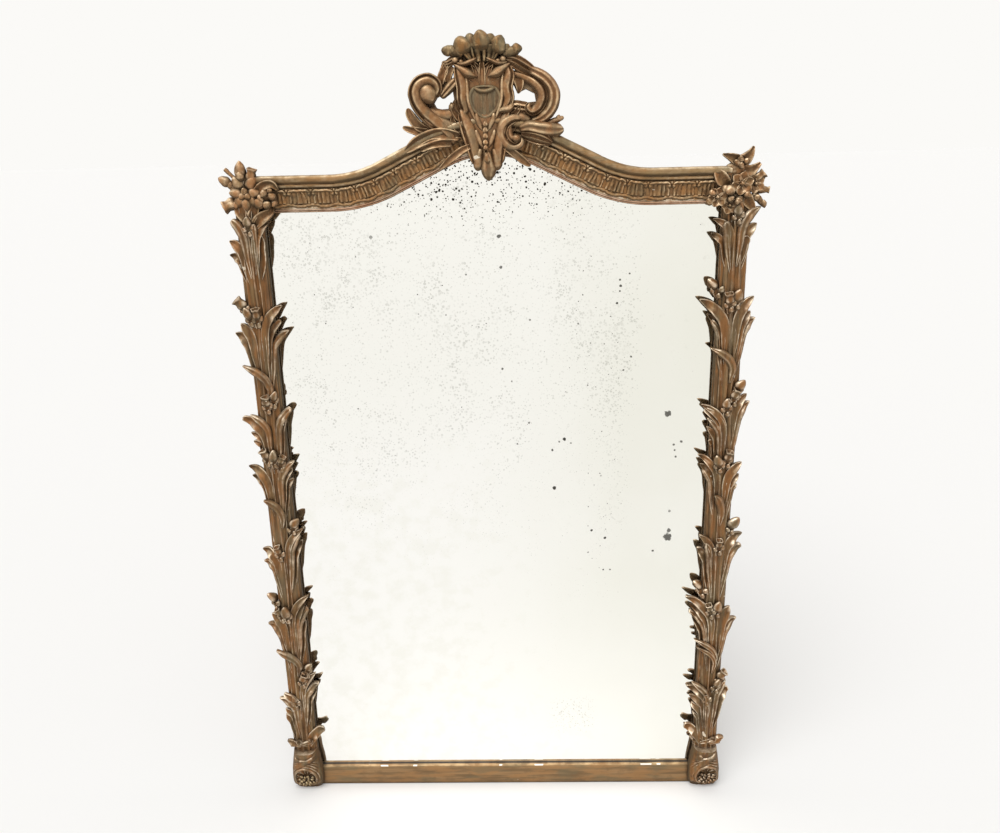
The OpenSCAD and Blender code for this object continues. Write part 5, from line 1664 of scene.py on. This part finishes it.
@dataclass(frozen=True)
class Mouldings:
    """What follows the arch, the cap, the carved panels and the bead along the glass, and the bottom rail.

    A reed of the bead is its middle's offset from the sight line, its radius and its middle's height.
    """

    bench: Bench
    arch: Arch
    bead_w: float = 5.0
    band_top: float = 30.0
    band_d: float = 28.0
    panel_pitch: float = 34.5
    panel_start: float = 4.5
    cap_low: float = 34.0
    cap_w: float = 18.0
    cap_over: float = 9.0
    cove: float = 7.0
    reeds: tuple[Rib, ...] = ((1.35, 1.3, 2.6), (3.65, 1.3, 3.6))
    rail_corner: float = 1.6
    rail_swell: float = 0.25
    run_steps: int = 260
    panel_steps: tuple[int, int] = (50, 900)

    def swept(self, name: str, section: Sequence[tuple[float, float]], finish: Finish,
              nodes: Sequence[str], end_x: float) -> None:
        """Sweeps a closed section along the arch.

        Args:
            name: The piece's name.
            section: Pairs of offset from the sight line and depth.
            finish: Its material.
            nodes: The nodes it stands for.
            end_x: How far it runs to both sides.
        """
        carving = Carving(self.bench)
        count = len(section)

        def place(share: float, along_share: float) -> Vector:
            """Point of the moulding's skin."""
            offset, depth = section[round(share * count) % count]
            across, up = self.arch.at(mixed(-end_x, end_x, along_share), offset)
            return self.bench.spot(across, up, depth)

        carving.skin(count, self.run_steps, place)
        carving.piece(name, finish, nodes, 0.25)

    def cap(self, finishes: Finishes) -> None:
        """Carves the cap: a broad round over a thinner reed."""
        core = self.bench.core_d
        low, high = self.cap_low, self.cap_low + self.cap_w
        section = [(low + 0.6, core), (low - 0.6, core + 8.4)]
        for step in range(9):
            turn = math.radians(184 - 17 * step)
            section.append((low + 3.1 + 3.5 * math.cos(turn), core + 9.4 + 3.9 * math.sin(turn)))
        for step in range(14):
            turn = math.radians(160 - 12.3 * step)
            section.append((low + 12.0 + 6.0 * math.cos(turn), core + 10.6 + 6.4 * math.sin(turn)))
        section.append((high - 0.6, core))
        end_x = self.arch.end_x + self.cap_over
        self.swept("reeded_cap_moulding", section, finishes.cap, ["cap_moulding"], end_x)

    def bead(self, finishes: Finishes) -> None:
        """Carves the bead: two small reeds along the glass."""
        core = self.bench.core_d
        section = [(0.0, core)]
        for centre, radius, seat in self.reeds:
            for step in range(7):
                turn = math.radians(180 - 30 * step)
                section.append((centre + radius * math.cos(turn), core + seat + radius * math.sin(turn)))
        section.append((self.bead_w, core))
        self.swept("reeded_sight_bead", section, finishes.bead, ["sight_bead"],
                   self.arch.end_x)

    def carved(self, run: float, rise: float) -> float:
        """Height of the panels' carving.

        Args:
            run: Distance along the arch from its end.
            rise: Place across the band, from 0 at the bead to 1 at its top.

        Returns:
            Height over the band's face.
        """
        uneven = 0.05 * self.panel_pitch * ripple(run / 60, 0, 3)
        phase = (run - self.panel_start + uneven) / self.panel_pitch % 1.0
        from_end = min(phase, 1 - phase)
        wide, tall = self.panel_pitch, self.band_top - self.bead_w
        swing = 0.05 * ripple(run / 7, 1.0, 8)
        crown = 0.9 - 0.16 * (1 - min(from_end / 0.2, 1)) ** 2 + swing
        lip = 4.6 * swell(rise - crown, 0.085) * ease((from_end - 0.035) / 0.04)
        knob = 4.6 * swell(math.hypot((from_end - 0.09) * wide, (rise - 0.74 - swing) * tall), 3.2)
        gem = 3.4 * swell(math.hypot(from_end * wide, (rise - 0.9) * tall), 2.6)
        lean = 1.5 * (phase - 0.5) * max(rise - 0.2, 0.0) ** 1.5
        comb = abs(math.sin(math.pi * (5.2 * phase + lean + 0.38 * ripple(run / 11, rise * 1.6, 4))))
        field = ease((rise - 0.2) / 0.08) * ease((crown + 0.02 - rise) / 0.06)
        field *= ease((from_end - 0.05) / 0.04)
        flutes = (0.9 + 2.7 * comb**0.8 * (0.75 + 0.5 * ripple(run / 5, rise * 3, 6))) * field
        hem = 0.15 + 0.045 * math.cos(2 * math.pi * phase) + 0.03 * ripple(run / 6, 0, 5)
        roll = 2.5 * swell(rise - hem, 0.085)
        shape = max(lip, knob, gem, flutes, roll)
        return 0.4 + shape + 0.55 * ripple(run / 4.5, rise * 6, 1.5)

    def panels(self, finishes: Finishes) -> None:
        """Carves the row of panels over the band."""
        carving = Carving(self.bench)
        low, high = self.bead_w + 0.4, self.band_top + 3.2
        face_end, seat = 0.9, self.band_d - 0.4

        def place(share: float, along_share: float) -> Vector:
            """Point of the carved band's skin: over its face, then down its back."""
            x = mixed(-self.arch.end_x + 0.5, self.arch.end_x - 0.5, along_share)
            front = share <= face_end
            rise = share / face_end if front else (1 - share) / (1 - face_end)
            across, up = self.arch.at(x, mixed(low, high, rise))
            if front:
                edge = min(ease(rise / 0.02), ease((1 - rise) / 0.02))
                lift = self.carved(self.arch.run(x), rise) * edge + self.cove * max(rise, 0.0) ** 1.8
                return self.bench.spot(across, up, seat + max(lift, 0.0))
            sunk = 0.4 * math.sin(math.pi * (1 - rise))
            return self.bench.spot(across, up, seat + self.cove * max(rise, 0.0) - sunk)

        carving.skin(*self.panel_steps, place)
        carving.piece("carved_band_panels", finishes.band, ["band_panels"], 0.15)

    def rail(self, finishes: Finishes) -> None:
        """Planes the bottom rail: a flat board with a lip before the glass and rebates behind it."""
        carving = Carving(self.bench)
        front, tall, half = self.bench.rail_d, self.bench.rail_h, self.bench.rail_half
        corner, steps = self.rail_corner, 8
        section = [(0, 0), (front - corner, 0), (front - 0.4, 0.5), (front, corner)]
        for i in range(1, steps):
            swollen = self.rail_swell * math.sin(math.pi * i / steps)
            section.append((front + swollen, mixed(corner, tall - corner, i / steps)))
        section += [(front, tall - corner), (front - 0.5, tall - 0.5), (front - corner, tall), (18, tall), (18, 30),
                    (8, 30), (8, 22), (0, 22)]
        count = len(section)

        def place(share: float, along_share: float) -> Vector:
            """Point of the rail's skin."""
            depth, z = section[round(share * count) % count]
            return self.bench.spot(mixed(-half, half, along_share), z, depth)

        carving.skin(count, 120, place)
        carving.piece("planed_bottom_rail", finishes.rail, ["bottom_rail"], 0.0)

    def build(self, finishes: Finishes) -> None:
        """Makes every moulding."""
        self.cap(finishes)
        self.bead(finishes)
        self.panels(finishes)
        self.rail(finishes)


# ---------- Crest ----------


@dataclass(frozen=True)
class Crest:
    """The carved crest, measured from the middle and the land it stands on, with depths over the core."""

    bench: Bench
    middle: float = -5.0
    shield_z: float = 45.0

    def lifted(self, ribs: Sequence[Rib]) -> list[Rib]:
        """Moves ribs drawn on the crest to their own place."""
        base, core = self.bench.crest_z, self.bench.core_d
        return [(x, z + base, half, back + core, front + core) for x, z, half, back, front in ribs]

    def at(self, x: float, z: float, over: float) -> Triple:
        """Turns a place on the crest and a depth over the core into x, z and depth."""
        return x, z + self.bench.crest_z, over + self.bench.core_d

    def mirrored(self, ribs: Sequence[Rib], relief: Relief, x: float) -> list[Blade]:
        """Gives a blade and its mirror image about a line."""
        return [(ribs, relief), ([(2 * x - across, *rest) for across, *rest in ribs], relief)]

    def cut(self, carving: Carving, blades: Sequence[Blade], *ends: float) -> None:
        """Carves blades one after another, all with the same rounding of their ends."""
        for ribs, relief in blades:
            carving.blade(self.lifted(ribs), relief, *ends)

    def finish(self, carving: Carving, node: str, finishes: Finishes, hand: float = 0.45) -> None:
        """Makes one of the crest's pieces."""
        carving.piece("carved_" + node, finishes.crest, [node], hand)

    def shell(self, finishes: Finishes) -> None:
        """Carves the shell: a fluted hollow under thick lobes that roll forward."""
        carving = Carving(self.bench)
        for x, z, over, size, lean, lobes in (
            (-34, 116, 10, 13, -0.5, 3), (-22, 120.5, 9, 11, -0.1, 0), (-8, 121.5, 12, 13.5, -0.3, 3),
            (3, 121, 9, 10, 0.3, 0), (15, 116, 10, 12.5, 0.4, 3), (24, 110, 8, 8, 0.9, 0), (-43, 109, 8, 8, -1.0, 0),
        ):
            carving.bud(*self.at(x, z, over), size, (lean, 1, 0.5), 1.05, lobes)
        for x, lean, wide, over in (
            (-40, 0.5, 2.6, 17), (-32, 0.7, 4.6, 23), (-23, 0.75, 3.0, 20), (-14, 0.9, 4.6, 24), (-4, 1.0, 2.8, 19),
            (4, 0.9, 4.6, 24), (13, 0.75, 3.8, 22), (20, 0.6, 3, 18),
        ):
            root = -7 + lean * 0.8 * (x + 7)
            ribs = [(root, 94, wide * 0.9, 0, 15), (mixed(root, x, 0.5), 104, wide * 1.1, 0, 13 + x % 3),
                    (x, 117, wide * 1.2, 0, over)]
            carving.blade(self.lifted(ribs), ROUND, 0.15, 0.1, 18, 20)
        for ribs in ([(-34, 104, 6, 0, 15), (-46, 109, 7, 1, 18), (-55, 110, 6.5, 2, 17)],
                     [(22, 104, 6, 0, 15), (34, 107, 7, 1, 17), (43, 110, 6.5, 2, 17)]):
            carving.blade(self.lifted(ribs), tip=0.3)
        carving.bud(*self.at(-55, 109.5, 11), 7.2, (-1, 0.1, 0.2), 1.1)
        carving.bud(*self.at(40, 110, 11), 7.2, (1, 0.1, 0.2), 1.1)
        carving.piece("carved_crest_shell", finishes.shell, ["crest_shell"], 0.9)

    def collar(self, finishes: Finishes) -> None:
        """Carves the collar of leaves between the shell and the shield."""
        carving = Carving(self.bench)
        self.cut(carving, [
            *self.mirrored([(-47, 93, 1.2, 0, 14), (-38, 87, 4.6, 0, 19), (-27, 80, 6.4, 0, 23),
                            (-14, 75, 1.2, 2, 20)], ROUND, -7.5),
            *self.mirrored([(-44, 94, 2.5, 0, 13), (-33, 92, 3.4, 0, 19), (-21, 96, 3, 0, 20),
                            (-14, 100, 2, 2, 18)], ROUND, -8),
            ([(-7.5, 58, 3, 0, 15), (-8, 70, 5, 0, 20), (-8, 84, 4.5, 0, 20), (-8, 97, 3, 0, 16)], CHANNEL),
            *self.mirrored([(-9, 60, 2.4, 0, 14), (-13, 72, 3.4, 0, 18), (-17, 84, 3.6, 0, 19),
                            (-22, 96, 2.6, 0, 16)], CHANNEL, -7.5),
            ([(-12, 86, 3, 0, 16), (-19, 92, 3.4, 0, 17), (-30, 98, 2.4, 0, 15)], CHANNEL),
            ([(-4, 86, 3, 0, 16), (4, 92, 3.4, 0, 17), (15, 98, 2.4, 0, 15)], CHANNEL),
            ([(-64, 72, 4, 0, 11), (-60, 84, 6, 0, 14), (-57, 94, 3.5, 0, 12)], CHANNEL),
            *self.mirrored([(-34, 84, 3, 0, 12), (-27, 76, 4, 0, 16), (-17, 70, 3, 0, 18)], CHANNEL, -7),
            ([(-34, 99, 5, 0, 12), (-46, 98, 6, 0, 13), (-56, 94, 5, 0, 11), (-63, 96, 3, 0, 9)], FLUTED),
            ([(20, 99, 5, 0, 12), (30, 98, 6, 0, 13), (39, 97, 5, 0, 11), (46, 99, 3, 0, 9)], FLUTED),
            ([(-50, 96, 3.5, 0, 11), (-57, 88, 4, 0, 12), (-62, 78, 4, 0, 10)], CHANNEL),
        ], 0.2, 0.12)
        for x, z, over, size in ((-44, 97, 13, 4.2), (21, 97, 13, 4.2), (-36, 95, 14, 3), (14, 95, 14, 3)):
            carving.knob(*self.at(x, z, over), size)
        self.finish(carving, "crest_collar", finishes)

    def left_scroll(self, finishes: Finishes) -> None:
        """Carves the left C-scroll, a thick band that curls in on itself, and what fills it."""
        carving = Carving(self.bench)
        carving.blade(self.lifted([
            (-48, -12, 7, 0, 14), (-60, 4, 10, 0, 18), (-76, 18, 10.5, 0, 21), (-90, 31, 10, 0, 23),
            (-99, 45, 9.5, 0, 24), (-101, 59, 9.5, 0, 25), (-94, 70, 9, 0, 24), (-82, 74, 8.5, 0, 22),
            (-72, 69, 7.5, 2, 20), (-69, 60, 6, 4, 18), (-73, 51, 5, 6, 17),
        ]), LEFT_HOLLOW, 0.04, 0.04, 36, 100)
        carving.bud(*self.at(-83, 54, 13), 13.5, (0.5, -0.6, 0.7), 1.15, 0)
        for ribs, relief, *ends in (
            ([(-66, 50, 4, 0, 14), (-58, 58, 6, 0, 16), (-50, 66, 6.5, 0, 16), (-42, 74, 5, 0, 13)],
             DOUBLE, 0.15, 0.15),
            ([(-66, 66, 4, 0, 13), (-64, 76, 6, 0, 15), (-60, 86, 5, 0, 13), (-62, 94, 2.5, 0, 11)],
             CHANNEL, 0.15, 0.1),
            ([(-56, 70, 4, 0, 13), (-54, 80, 5.5, 0, 15), (-48, 90, 4, 0, 13)], CHANNEL, 0.15),
            ([(-84, 36, 5, 0, 14), (-70, 29, 7, 0, 16), (-56, 27, 7.5, 0, 15), (-44, 34, 6, 0, 13)],
             ROUND, 0.15, 0.15),
            ([(-52, 30, 3, 2, 14), (-51, 38, 4.5, 2, 16), (-45, 40, 3, 2, 15)], ROUND, 0.3, 0.3),
            ([(-46, 14, 5, 0, 14), (-60, 16, 7, 0, 17), (-74, 26, 4, 0, 16)], ROUND, 0.2, 0.2),
        ):
            carving.blade(self.lifted(ribs), relief, *ends)
        self.finish(carving, "crest_left_scroll", finishes)

    def right_scroll(self, finishes: Finishes) -> None:
        """Carves the right C-scroll, with a second one inside it."""
        carving = Carving(self.bench)
        for ribs, relief, *ends in (
            ([(24, 98, 6, 0, 12), (36, 95, 9, 0, 16), (50, 87, 9.5, 0, 19), (64, 79, 6, 0, 18)],
             FLUTED, 0.12, 0.1, 40, 40),
            ([(52, 84, 5, 0, 15), (66, 79, 7.5, 0, 20), (80, 70, 8, 0, 23), (89, 57, 8.5, 0, 24),
              (90, 43, 8.5, 0, 24), (84, 29, 8, 0, 22), (72, 19, 7, 0, 19), (58, 15, 5, 0, 15)],
             DOUBLE, 0.05, 0.06, 34, 80),
            ([(34, 80, 4, 0, 12), (48, 76, 6.5, 0, 15), (62, 69, 7.5, 0, 18), (73, 58, 8, 0, 19), (75, 46, 8, 0, 19),
              (69, 34, 7.5, 0, 18), (60, 29, 6, 0, 18), (54, 34, 5, 0, 18),
              (57, 41, 3.5, 2, 18)], LEFT_HOLLOW, 0.06, 0.05, 34, 80),
            ([(34, 82, 5, 0, 13), (41, 72, 7.5, 0, 17), (43, 62, 5.5, 0, 16), (41, 53, 1.5, 0, 13)],
             CHANNEL, 0.08, 0.1),
            ([(26, 36, 7, 0, 13), (38, 36, 9, 0, 15), (52, 34, 8, 0, 15), (62, 31, 5, 0, 14)],
             FLUTED, 0.2),
            ([(30, 24, 6, 0, 13), (44, 22, 7, 0, 16), (58, 17, 5, 0, 15)], ROUND, 0.2, 0.1),
            ([(28, 60, 4, 0, 12), (31, 48, 4, 0, 14), (30, 38, 3, 0, 13)], ROUND, 0.2, 0.2),
        ):
            carving.blade(self.lifted(ribs), relief, *ends)
        self.finish(carving, "crest_right_scroll", finishes)

    def shield(self, finishes: Finishes) -> None:
        """Carves the shield: a raised rim round a swelling field with soft scales."""
        carving = Carving(self.bench)
        outline = Line([(-5, 65), (10, 63), (17, 54), (17, 43), (11, 30), (-5, 20), (-21, 30), (-27, 43), (-27, 54),
                        (-20, 63), (-5, 65)])
        edge_share, land = 0.2, 13.5

        def place(share: float, rise: float) -> Vector:
            """Point of the shield's skin, from its back edge up and in to its middle."""
            edge = outline.rib(share)
            inward = clamp((rise - edge_share) / 0.8)
            x, z = mixed(edge[0], self.middle, inward**1.1), mixed(edge[1], self.shield_z, inward**1.1)
            if rise < edge_share:
                over = 14 * rise / edge_share
            else:
                rim = 3.5 * swell(inward - 0.13, 0.14)
                field = land + 4.5 * swell(1 - inward, 0.85)
                scales = 0.9 * ripple(x / 2.6, z / 9, 7) * ease((inward - 0.2) / 0.1)
                over = max(land + rim, field + scales) if inward < 0.3 else field + scales
            return self.bench.spot(*self.at(x, z, over))

        carving.skin(72, 44, place)
        carving.blade(self.lifted([(-20, 62, 2.4, 12, 19), (-13, 58, 3, 12, 22), (-5, 56.5, 3, 12, 23),
                                   (3, 58, 3, 12, 22), (10, 62, 2.4, 12, 19)]), ROUND, 0.2, 0.2)
        carving.piece("carved_crest_shield", finishes.shield, ["crest_shield"], 0.3)

    def straps(self, finishes: Finishes) -> None:
        """Carves the two straps beside the shield, which run down over the mouldings."""
        carving = Carving(self.bench)
        ground = [(-8, 94, 26, 0, 9), (-7, 78, 31, 0, 13), (-5, 56, 33, 0, 14), (-5, 34, 31, 0, 15),
                  (-5, 14, 25, 0, 18), (-4, -8, 16, 4, 22), (-4, -26, 11, 12, 25)]
        carving.blade(self.lifted(ground), ROUND, 0.15, 0.1, 40, 60)
        self.cut(carving, [
            ([(-42, 92, 5, 0, 12), (-39, 78, 8, 0, 17), (-36, 62, 8.5, 0, 19), (-36, 46, 8, 0, 18),
              (-33, 33, 6, 0, 17), (-38, 25, 4, 0, 16)], RIGHT_HOLLOW),
            ([(24, 92, 5, 0, 12), (29, 78, 8, 0, 17), (26, 62, 8.5, 0, 19), (28, 46, 8, 0, 18), (23, 33, 6, 0, 17),
              (28, 25, 4, 0, 16)], LEFT_HOLLOW),
            ([(-40, 36, 4, 0, 15), (-35, 22, 8.5, 0, 20), (-29, 6, 11, 0, 24), (-24, -12, 10, 6, 27),
              (-21, -28, 8, 12, 29), (-19, -40, 5, 15, 27)], RIGHT_HOLLOW),
            ([(30, 36, 4, 0, 15), (25, 22, 8.5, 0, 20), (20, 6, 11, 0, 24), (16, -12, 10, 6, 27),
              (14, -28, 8, 12, 29), (14, -40, 5, 15, 27)], LEFT_HOLLOW),
        ], 0.1, 0.1, 40, 70)
        for flame in (
            [(-36, 16, 3, 0, 17), (-43, 25, 5, 0, 22), (-49, 35, 3.6, 2, 22), (-52, 44, 1, 4, 18)],
            [(-36, 2, 3, 0, 17), (-44, 9, 5, 0, 22), (-50, 19, 3.6, 2, 20), (-50, 28, 1, 4, 17)],
            [(-38, 30, 3, 0, 17), (-43, 38, 4, 0, 21), (-43, 47, 1, 2, 19)],
            [(27, 16, 3, 0, 17), (33, 24, 4.6, 0, 22), (40, 31, 3.6, 2, 21), (44, 39, 1, 4, 18)],
            [(26, 2, 3, 0, 17), (33, 8, 4.4, 0, 21), (38, 17, 1, 2, 18)],
        ):
            carving.blade(self.lifted(flame), CHANNEL, 0.06, 0.1, 22, 28)
        for sign in (-1, 1):
            inner = [(self.middle + sign * reach, z, half, 0, over) for reach, z, half, over in (
                (26, 84, 3, 12), (24, 66, 3.6, 17), (23, 46, 3.6, 18), (17, 28, 3.6, 18), (10, 14, 3, 17))]
            carving.blade(self.lifted(inner), ROUND, 0.1, 0.1, 20, 50)
        tongue = [(12, 30, 3, 2, 17), (20, 32, 4.6, 2, 23), (29, 34, 5, 4, 24), (34, 41, 2.4, 6, 18)]
        carving.blade(self.lifted(tongue), ROUND, 0.2, 0.1)
        self.finish(carving, "crest_straps", finishes)

    def husks(self, finishes: Finishes) -> None:
        """Carves the drop of husks and beads in the middle."""
        carving = Carving(self.bench)
        stem = [(-5, 26, 4, 0, 17), (-5, 12, 7, 0, 20), (-5, 0, 6, 0, 21), (-5, -14, 7, 4, 25),
                (-4, -34, 7.5, 14, 28), (-3, -50, 6.5, 16, 29), (-3, -61, 3, 17, 25)]
        carving.blade(self.lifted(stem), FLUTED, 0.08, 0.04, 34, 60)
        for z, radius, over in ((14, 3.4, 22), (6, 3.8, 22), (-2, 4.0, 23), (-10, 3.8, 25), (-17, 3.2, 27)):
            carving.bud(*self.at(self.middle, z, over), radius, (0, 1, 0), 1.15, 4)
        for sign in (-1, 1):
            for z, reach, over in ((16, 12, 20), (-6, 13, 24)):
                table = ((3, -12, 2.4, 8, -1), (7, -4, 3.8, 8, 1), (11, 5, 3.4, 7, 0), (reach, 13, 1.6, 6, -1))
                leaf = [(self.middle + sign * aside, z + up, half, over - back, over + front)
                        for aside, up, half, back, front in table]
                carving.blade(self.lifted(leaf), ROUND, 0.15, 0.1, 20, 22)
            table = ((9, -18, 3, 10, 26), (12, -29, 6, 12, 29), (13.5, -40, 6.6, 14, 29), (12.5, -48, 4.6, 15, 26))
            lobe = [(sign * aside - 3, *rest) for aside, *rest in table]
            carving.blade(self.lifted(lobe), ROUND, 0.25, 0.1, 24, 30)
        end = [(-3, -22, 4, 12, 28), (-2.5, -34, 8, 14, 31), (-2, -46, 10.5, 15, 31), (-2, -56, 7.5, 16, 28),
               (-2, -62, 3, 17, 24)]
        carving.blade(self.lifted(end), DOUBLE, 0.18, 0.1, 30, 40)
        carving.bud(*self.at(-3, -32, 30), 4, (0, 1, 0.3), 1.7, 3)
        self.finish(carving, "crest_husk_drop", finishes)

    def leaves(self, finishes: Finishes) -> None:
        """Carves the leaves that sweep out over the slopes."""
        ends = (0.16, 0.08, 30, 36)
        left = Carving(self.bench)
        self.cut(left, [
            ([(-76, 2, 5, 0, 12), (-96, 12, 7, 0, 15), (-108, 26, 6.5, 1, 14), (-113, 38, 3.5, 2, 11)], CHANNEL),
            ([(-66, 2, 5, 0, 13), (-92, 5, 6.5, 0, 16), (-110, 9, 5, 2, 15), (-121, 13, 3, 4, 12)], CHANNEL),
            ([(-40, -2, 6, 0, 22), (-68, 2, 9, 0, 27), (-96, -6, 9, 0, 27), (-112, -16, 6, 4, 25),
              (-119, -22, 3, 6, 22)], CHANNEL),
            ([(-52, -10, 5, 4, 22), (-78, -10, 7, 4, 26), (-98, -18, 5, 6, 24)], CHANNEL),
            ([(-24, -14, 3, 16, 26), (-38, -20, 5, 17, 29), (-54, -31, 5, 18, 29), (-65, -40, 3.4, 18, 26),
              (-71, -44, 1.4, 18, 23)], CHANNEL),
            ([(-62, 14, 5, 0, 14), (-80, 16, 6, 0, 17), (-92, 24, 5, 0, 16)], ROUND),
        ], *ends)
        self.finish(left, "crest_left_leaves", finishes)
        right = Carving(self.bench)
        self.cut(right, [
            ([(42, 6, 5, 2, 23), (56, 9, 9, 2, 27), (74, 6, 10, 4, 28), (92, 4, 9, 6, 26),
              (104, 6, 5, 8, 22)], DOUBLE),
            ([(44, 0, 5, 2, 24), (60, -3, 9.5, 6, 28), (76, -8, 8.5, 10, 28), (88, -13, 3, 14, 24)], FLUTED),
            ([(74, 10, 4, 0, 14), (90, 16, 4.5, 3, 15), (104, 21, 2.6, 6, 12)], ROUND),
            ([(78, 6, 4, 0, 14), (92, 10, 4, 3, 15), (101, 8, 3, 6, 12)], ROUND),
            ([(19, -16, 3, 16, 26), (32, -24, 5, 17, 29), (46, -35, 5, 18, 29), (57, -43, 2.4, 18, 24)], CHANNEL),
            ([(46, 19, 4, 2, 18), (34, 20, 7, 2, 22), (22, 13, 8.5, 2, 25), (18, 0, 8.5, 4, 27), (24, -12, 8, 8, 28),
              (35, -17, 6.5, 10, 28), (44, -12, 5, 12, 27), (45, -4, 3.5, 13, 25)], LEFT_HOLLOW),
            ([(28, 8, 4, 2, 20), (30, -3, 5, 4, 23), (38, -8, 4, 8, 24)], ROUND),
        ], *ends)
        right.bud(*self.at(38, -6, 25), 5.2, (0.2, 0.2, 1), 1.0)
        right.bud(*self.at(96, 20, 11), 3.6, (0.3, 1, 0), 1.4)
        self.finish(right, "crest_right_leaves", finishes)

    def build(self, finishes: Finishes) -> None:
        """Carves the whole crest."""
        for carve in (self.shell, self.collar, self.left_scroll, self.right_scroll, self.shield, self.straps,
                      self.husks, self.leaves):
            carve(finishes)


# ---------- What stays as the frame has it ----------


@dataclass(frozen=True)
class Joinery:
    """The plain parts whose own mesh is kept and given a finish."""

    stained: tuple[str, ...] = ("left_stile", "right_stile", "top_rail")
    bare: tuple[str, ...] = ("crest_batten", "glazing_blocks", "left_backboard", "middle_backboard",
                             "right_backboard")
    iron: tuple[str, ...] = ("crest_batten_screws", "backboard_nails", "left_hanger_strap", "right_hanger_strap",
                             "left_ring", "right_ring", "hanger_screws")

    def build(self, finishes: Finishes) -> None:
        """Dresses every kept node."""
        for nodes, finish in ((self.stained, finishes.core), (self.bare, finishes.boards),
                              (self.iron, finishes.iron)):
            for node in nodes:
                dress(node, finish)
        dress("mirror_plate", finishes.plate)
        dress("crest_board", finishes.crest)
        dress("carved_band", finishes.gilt)


# ---------- Studio ----------


@dataclass(frozen=True)
class Studio:
    """The plain pale floor, the soft light and the camera. Turns are in degrees."""

    floor_half: float = 150.0
    camera_at: Triple = (0.036, -1.271, 1.077)
    camera_turn: Triple = (72.73, 1.24, 0.99)
    lens: float = 30.6
    seen_world: Colour = (0.965, 0.955, 0.93)
    light_world: Colour = (0.585, 0.58, 0.57)
    sun_power: float = 1.9
    sun_soft: float = math.radians(50)
    sun_turn: Triple = (33.0, -12.0, 0.0)

    def floor(self) -> None:
        """Lays the floor."""
        mesh = bmesh.new()
        bmesh.ops.create_grid(mesh, x_segments=1, y_segments=1, size=self.floor_half)
        data = bpy.data.meshes.new("studio_floor")
        mesh.to_mesh(data)
        mesh.free()
        data.materials.append(PaleFloor().material())
        made = bpy.data.objects.new("studio_floor", data)
        bpy.context.scene.collection.objects.link(made)

    def world(self) -> None:
        """Lights the room evenly."""
        made = bpy.data.worlds.new("studio")
        bpy.context.scene.world = made
        made.use_nodes = True
        made.node_tree.nodes.clear()
        graph = Graph(made.node_tree)
        rays = graph.node("ShaderNodeLightPath")
        direct = graph.math("MAXIMUM", rays.outputs["Is Camera Ray"], rays.outputs["Is Glossy Ray"])
        sky = graph.node("ShaderNodeBackground")
        graph.feed(sky.inputs["Color"], graph.blend(direct, self.light_world, self.seen_world))
        out = graph.node("ShaderNodeOutputWorld")
        graph.feed(out.inputs["Surface"], sky.outputs[0])

    def lights(self) -> None:
        """Hangs one wide soft lamp high in front."""
        data = bpy.data.lights.new("key", "SUN")
        data.energy, data.angle = self.sun_power, self.sun_soft
        made = bpy.data.objects.new("key", data)
        made.rotation_euler = Euler([math.radians(angle) for angle in self.sun_turn], "XYZ")
        bpy.context.scene.collection.objects.link(made)

    def camera(self) -> None:
        """Stands the camera where the photograph was taken."""
        data = bpy.data.cameras.new("camera")
        data.lens, data.sensor_width = self.lens, 36.0
        data.clip_start, data.clip_end = 0.05, 600.0
        made = bpy.data.objects.new("camera", data)
        made.location = self.camera_at
        made.rotation_euler = Euler([math.radians(angle) for angle in self.camera_turn], "XYZ")
        bpy.context.scene.collection.objects.link(made)
        bpy.context.scene.camera = made

    def build(self) -> None:
        """Sets up the studio."""
        self.camera()
        self.floor()
        self.world()
        self.lights()
        bpy.context.scene.view_settings.view_transform = "Standard"


def write_sizes() -> None:
    """Updates the view layer."""
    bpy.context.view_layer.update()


def main() -> None:
    """Builds the mirror's looks, piece by piece."""
    logging.basicConfig(level=logging.INFO, format="%(name)s %(message)s")
    bench = Bench.measured()
    finishes = Finishes.mixed()
    Joinery().build(finishes)
    Mouldings(bench, Arch(bench.sight_h)).build(finishes)
    Uprights(bench).build(finishes)
    Corners(bench).build(finishes)
    Crest(bench).build(finishes)
    Studio().build()
    write_sizes()


if __name__ == "__main__":
    main()
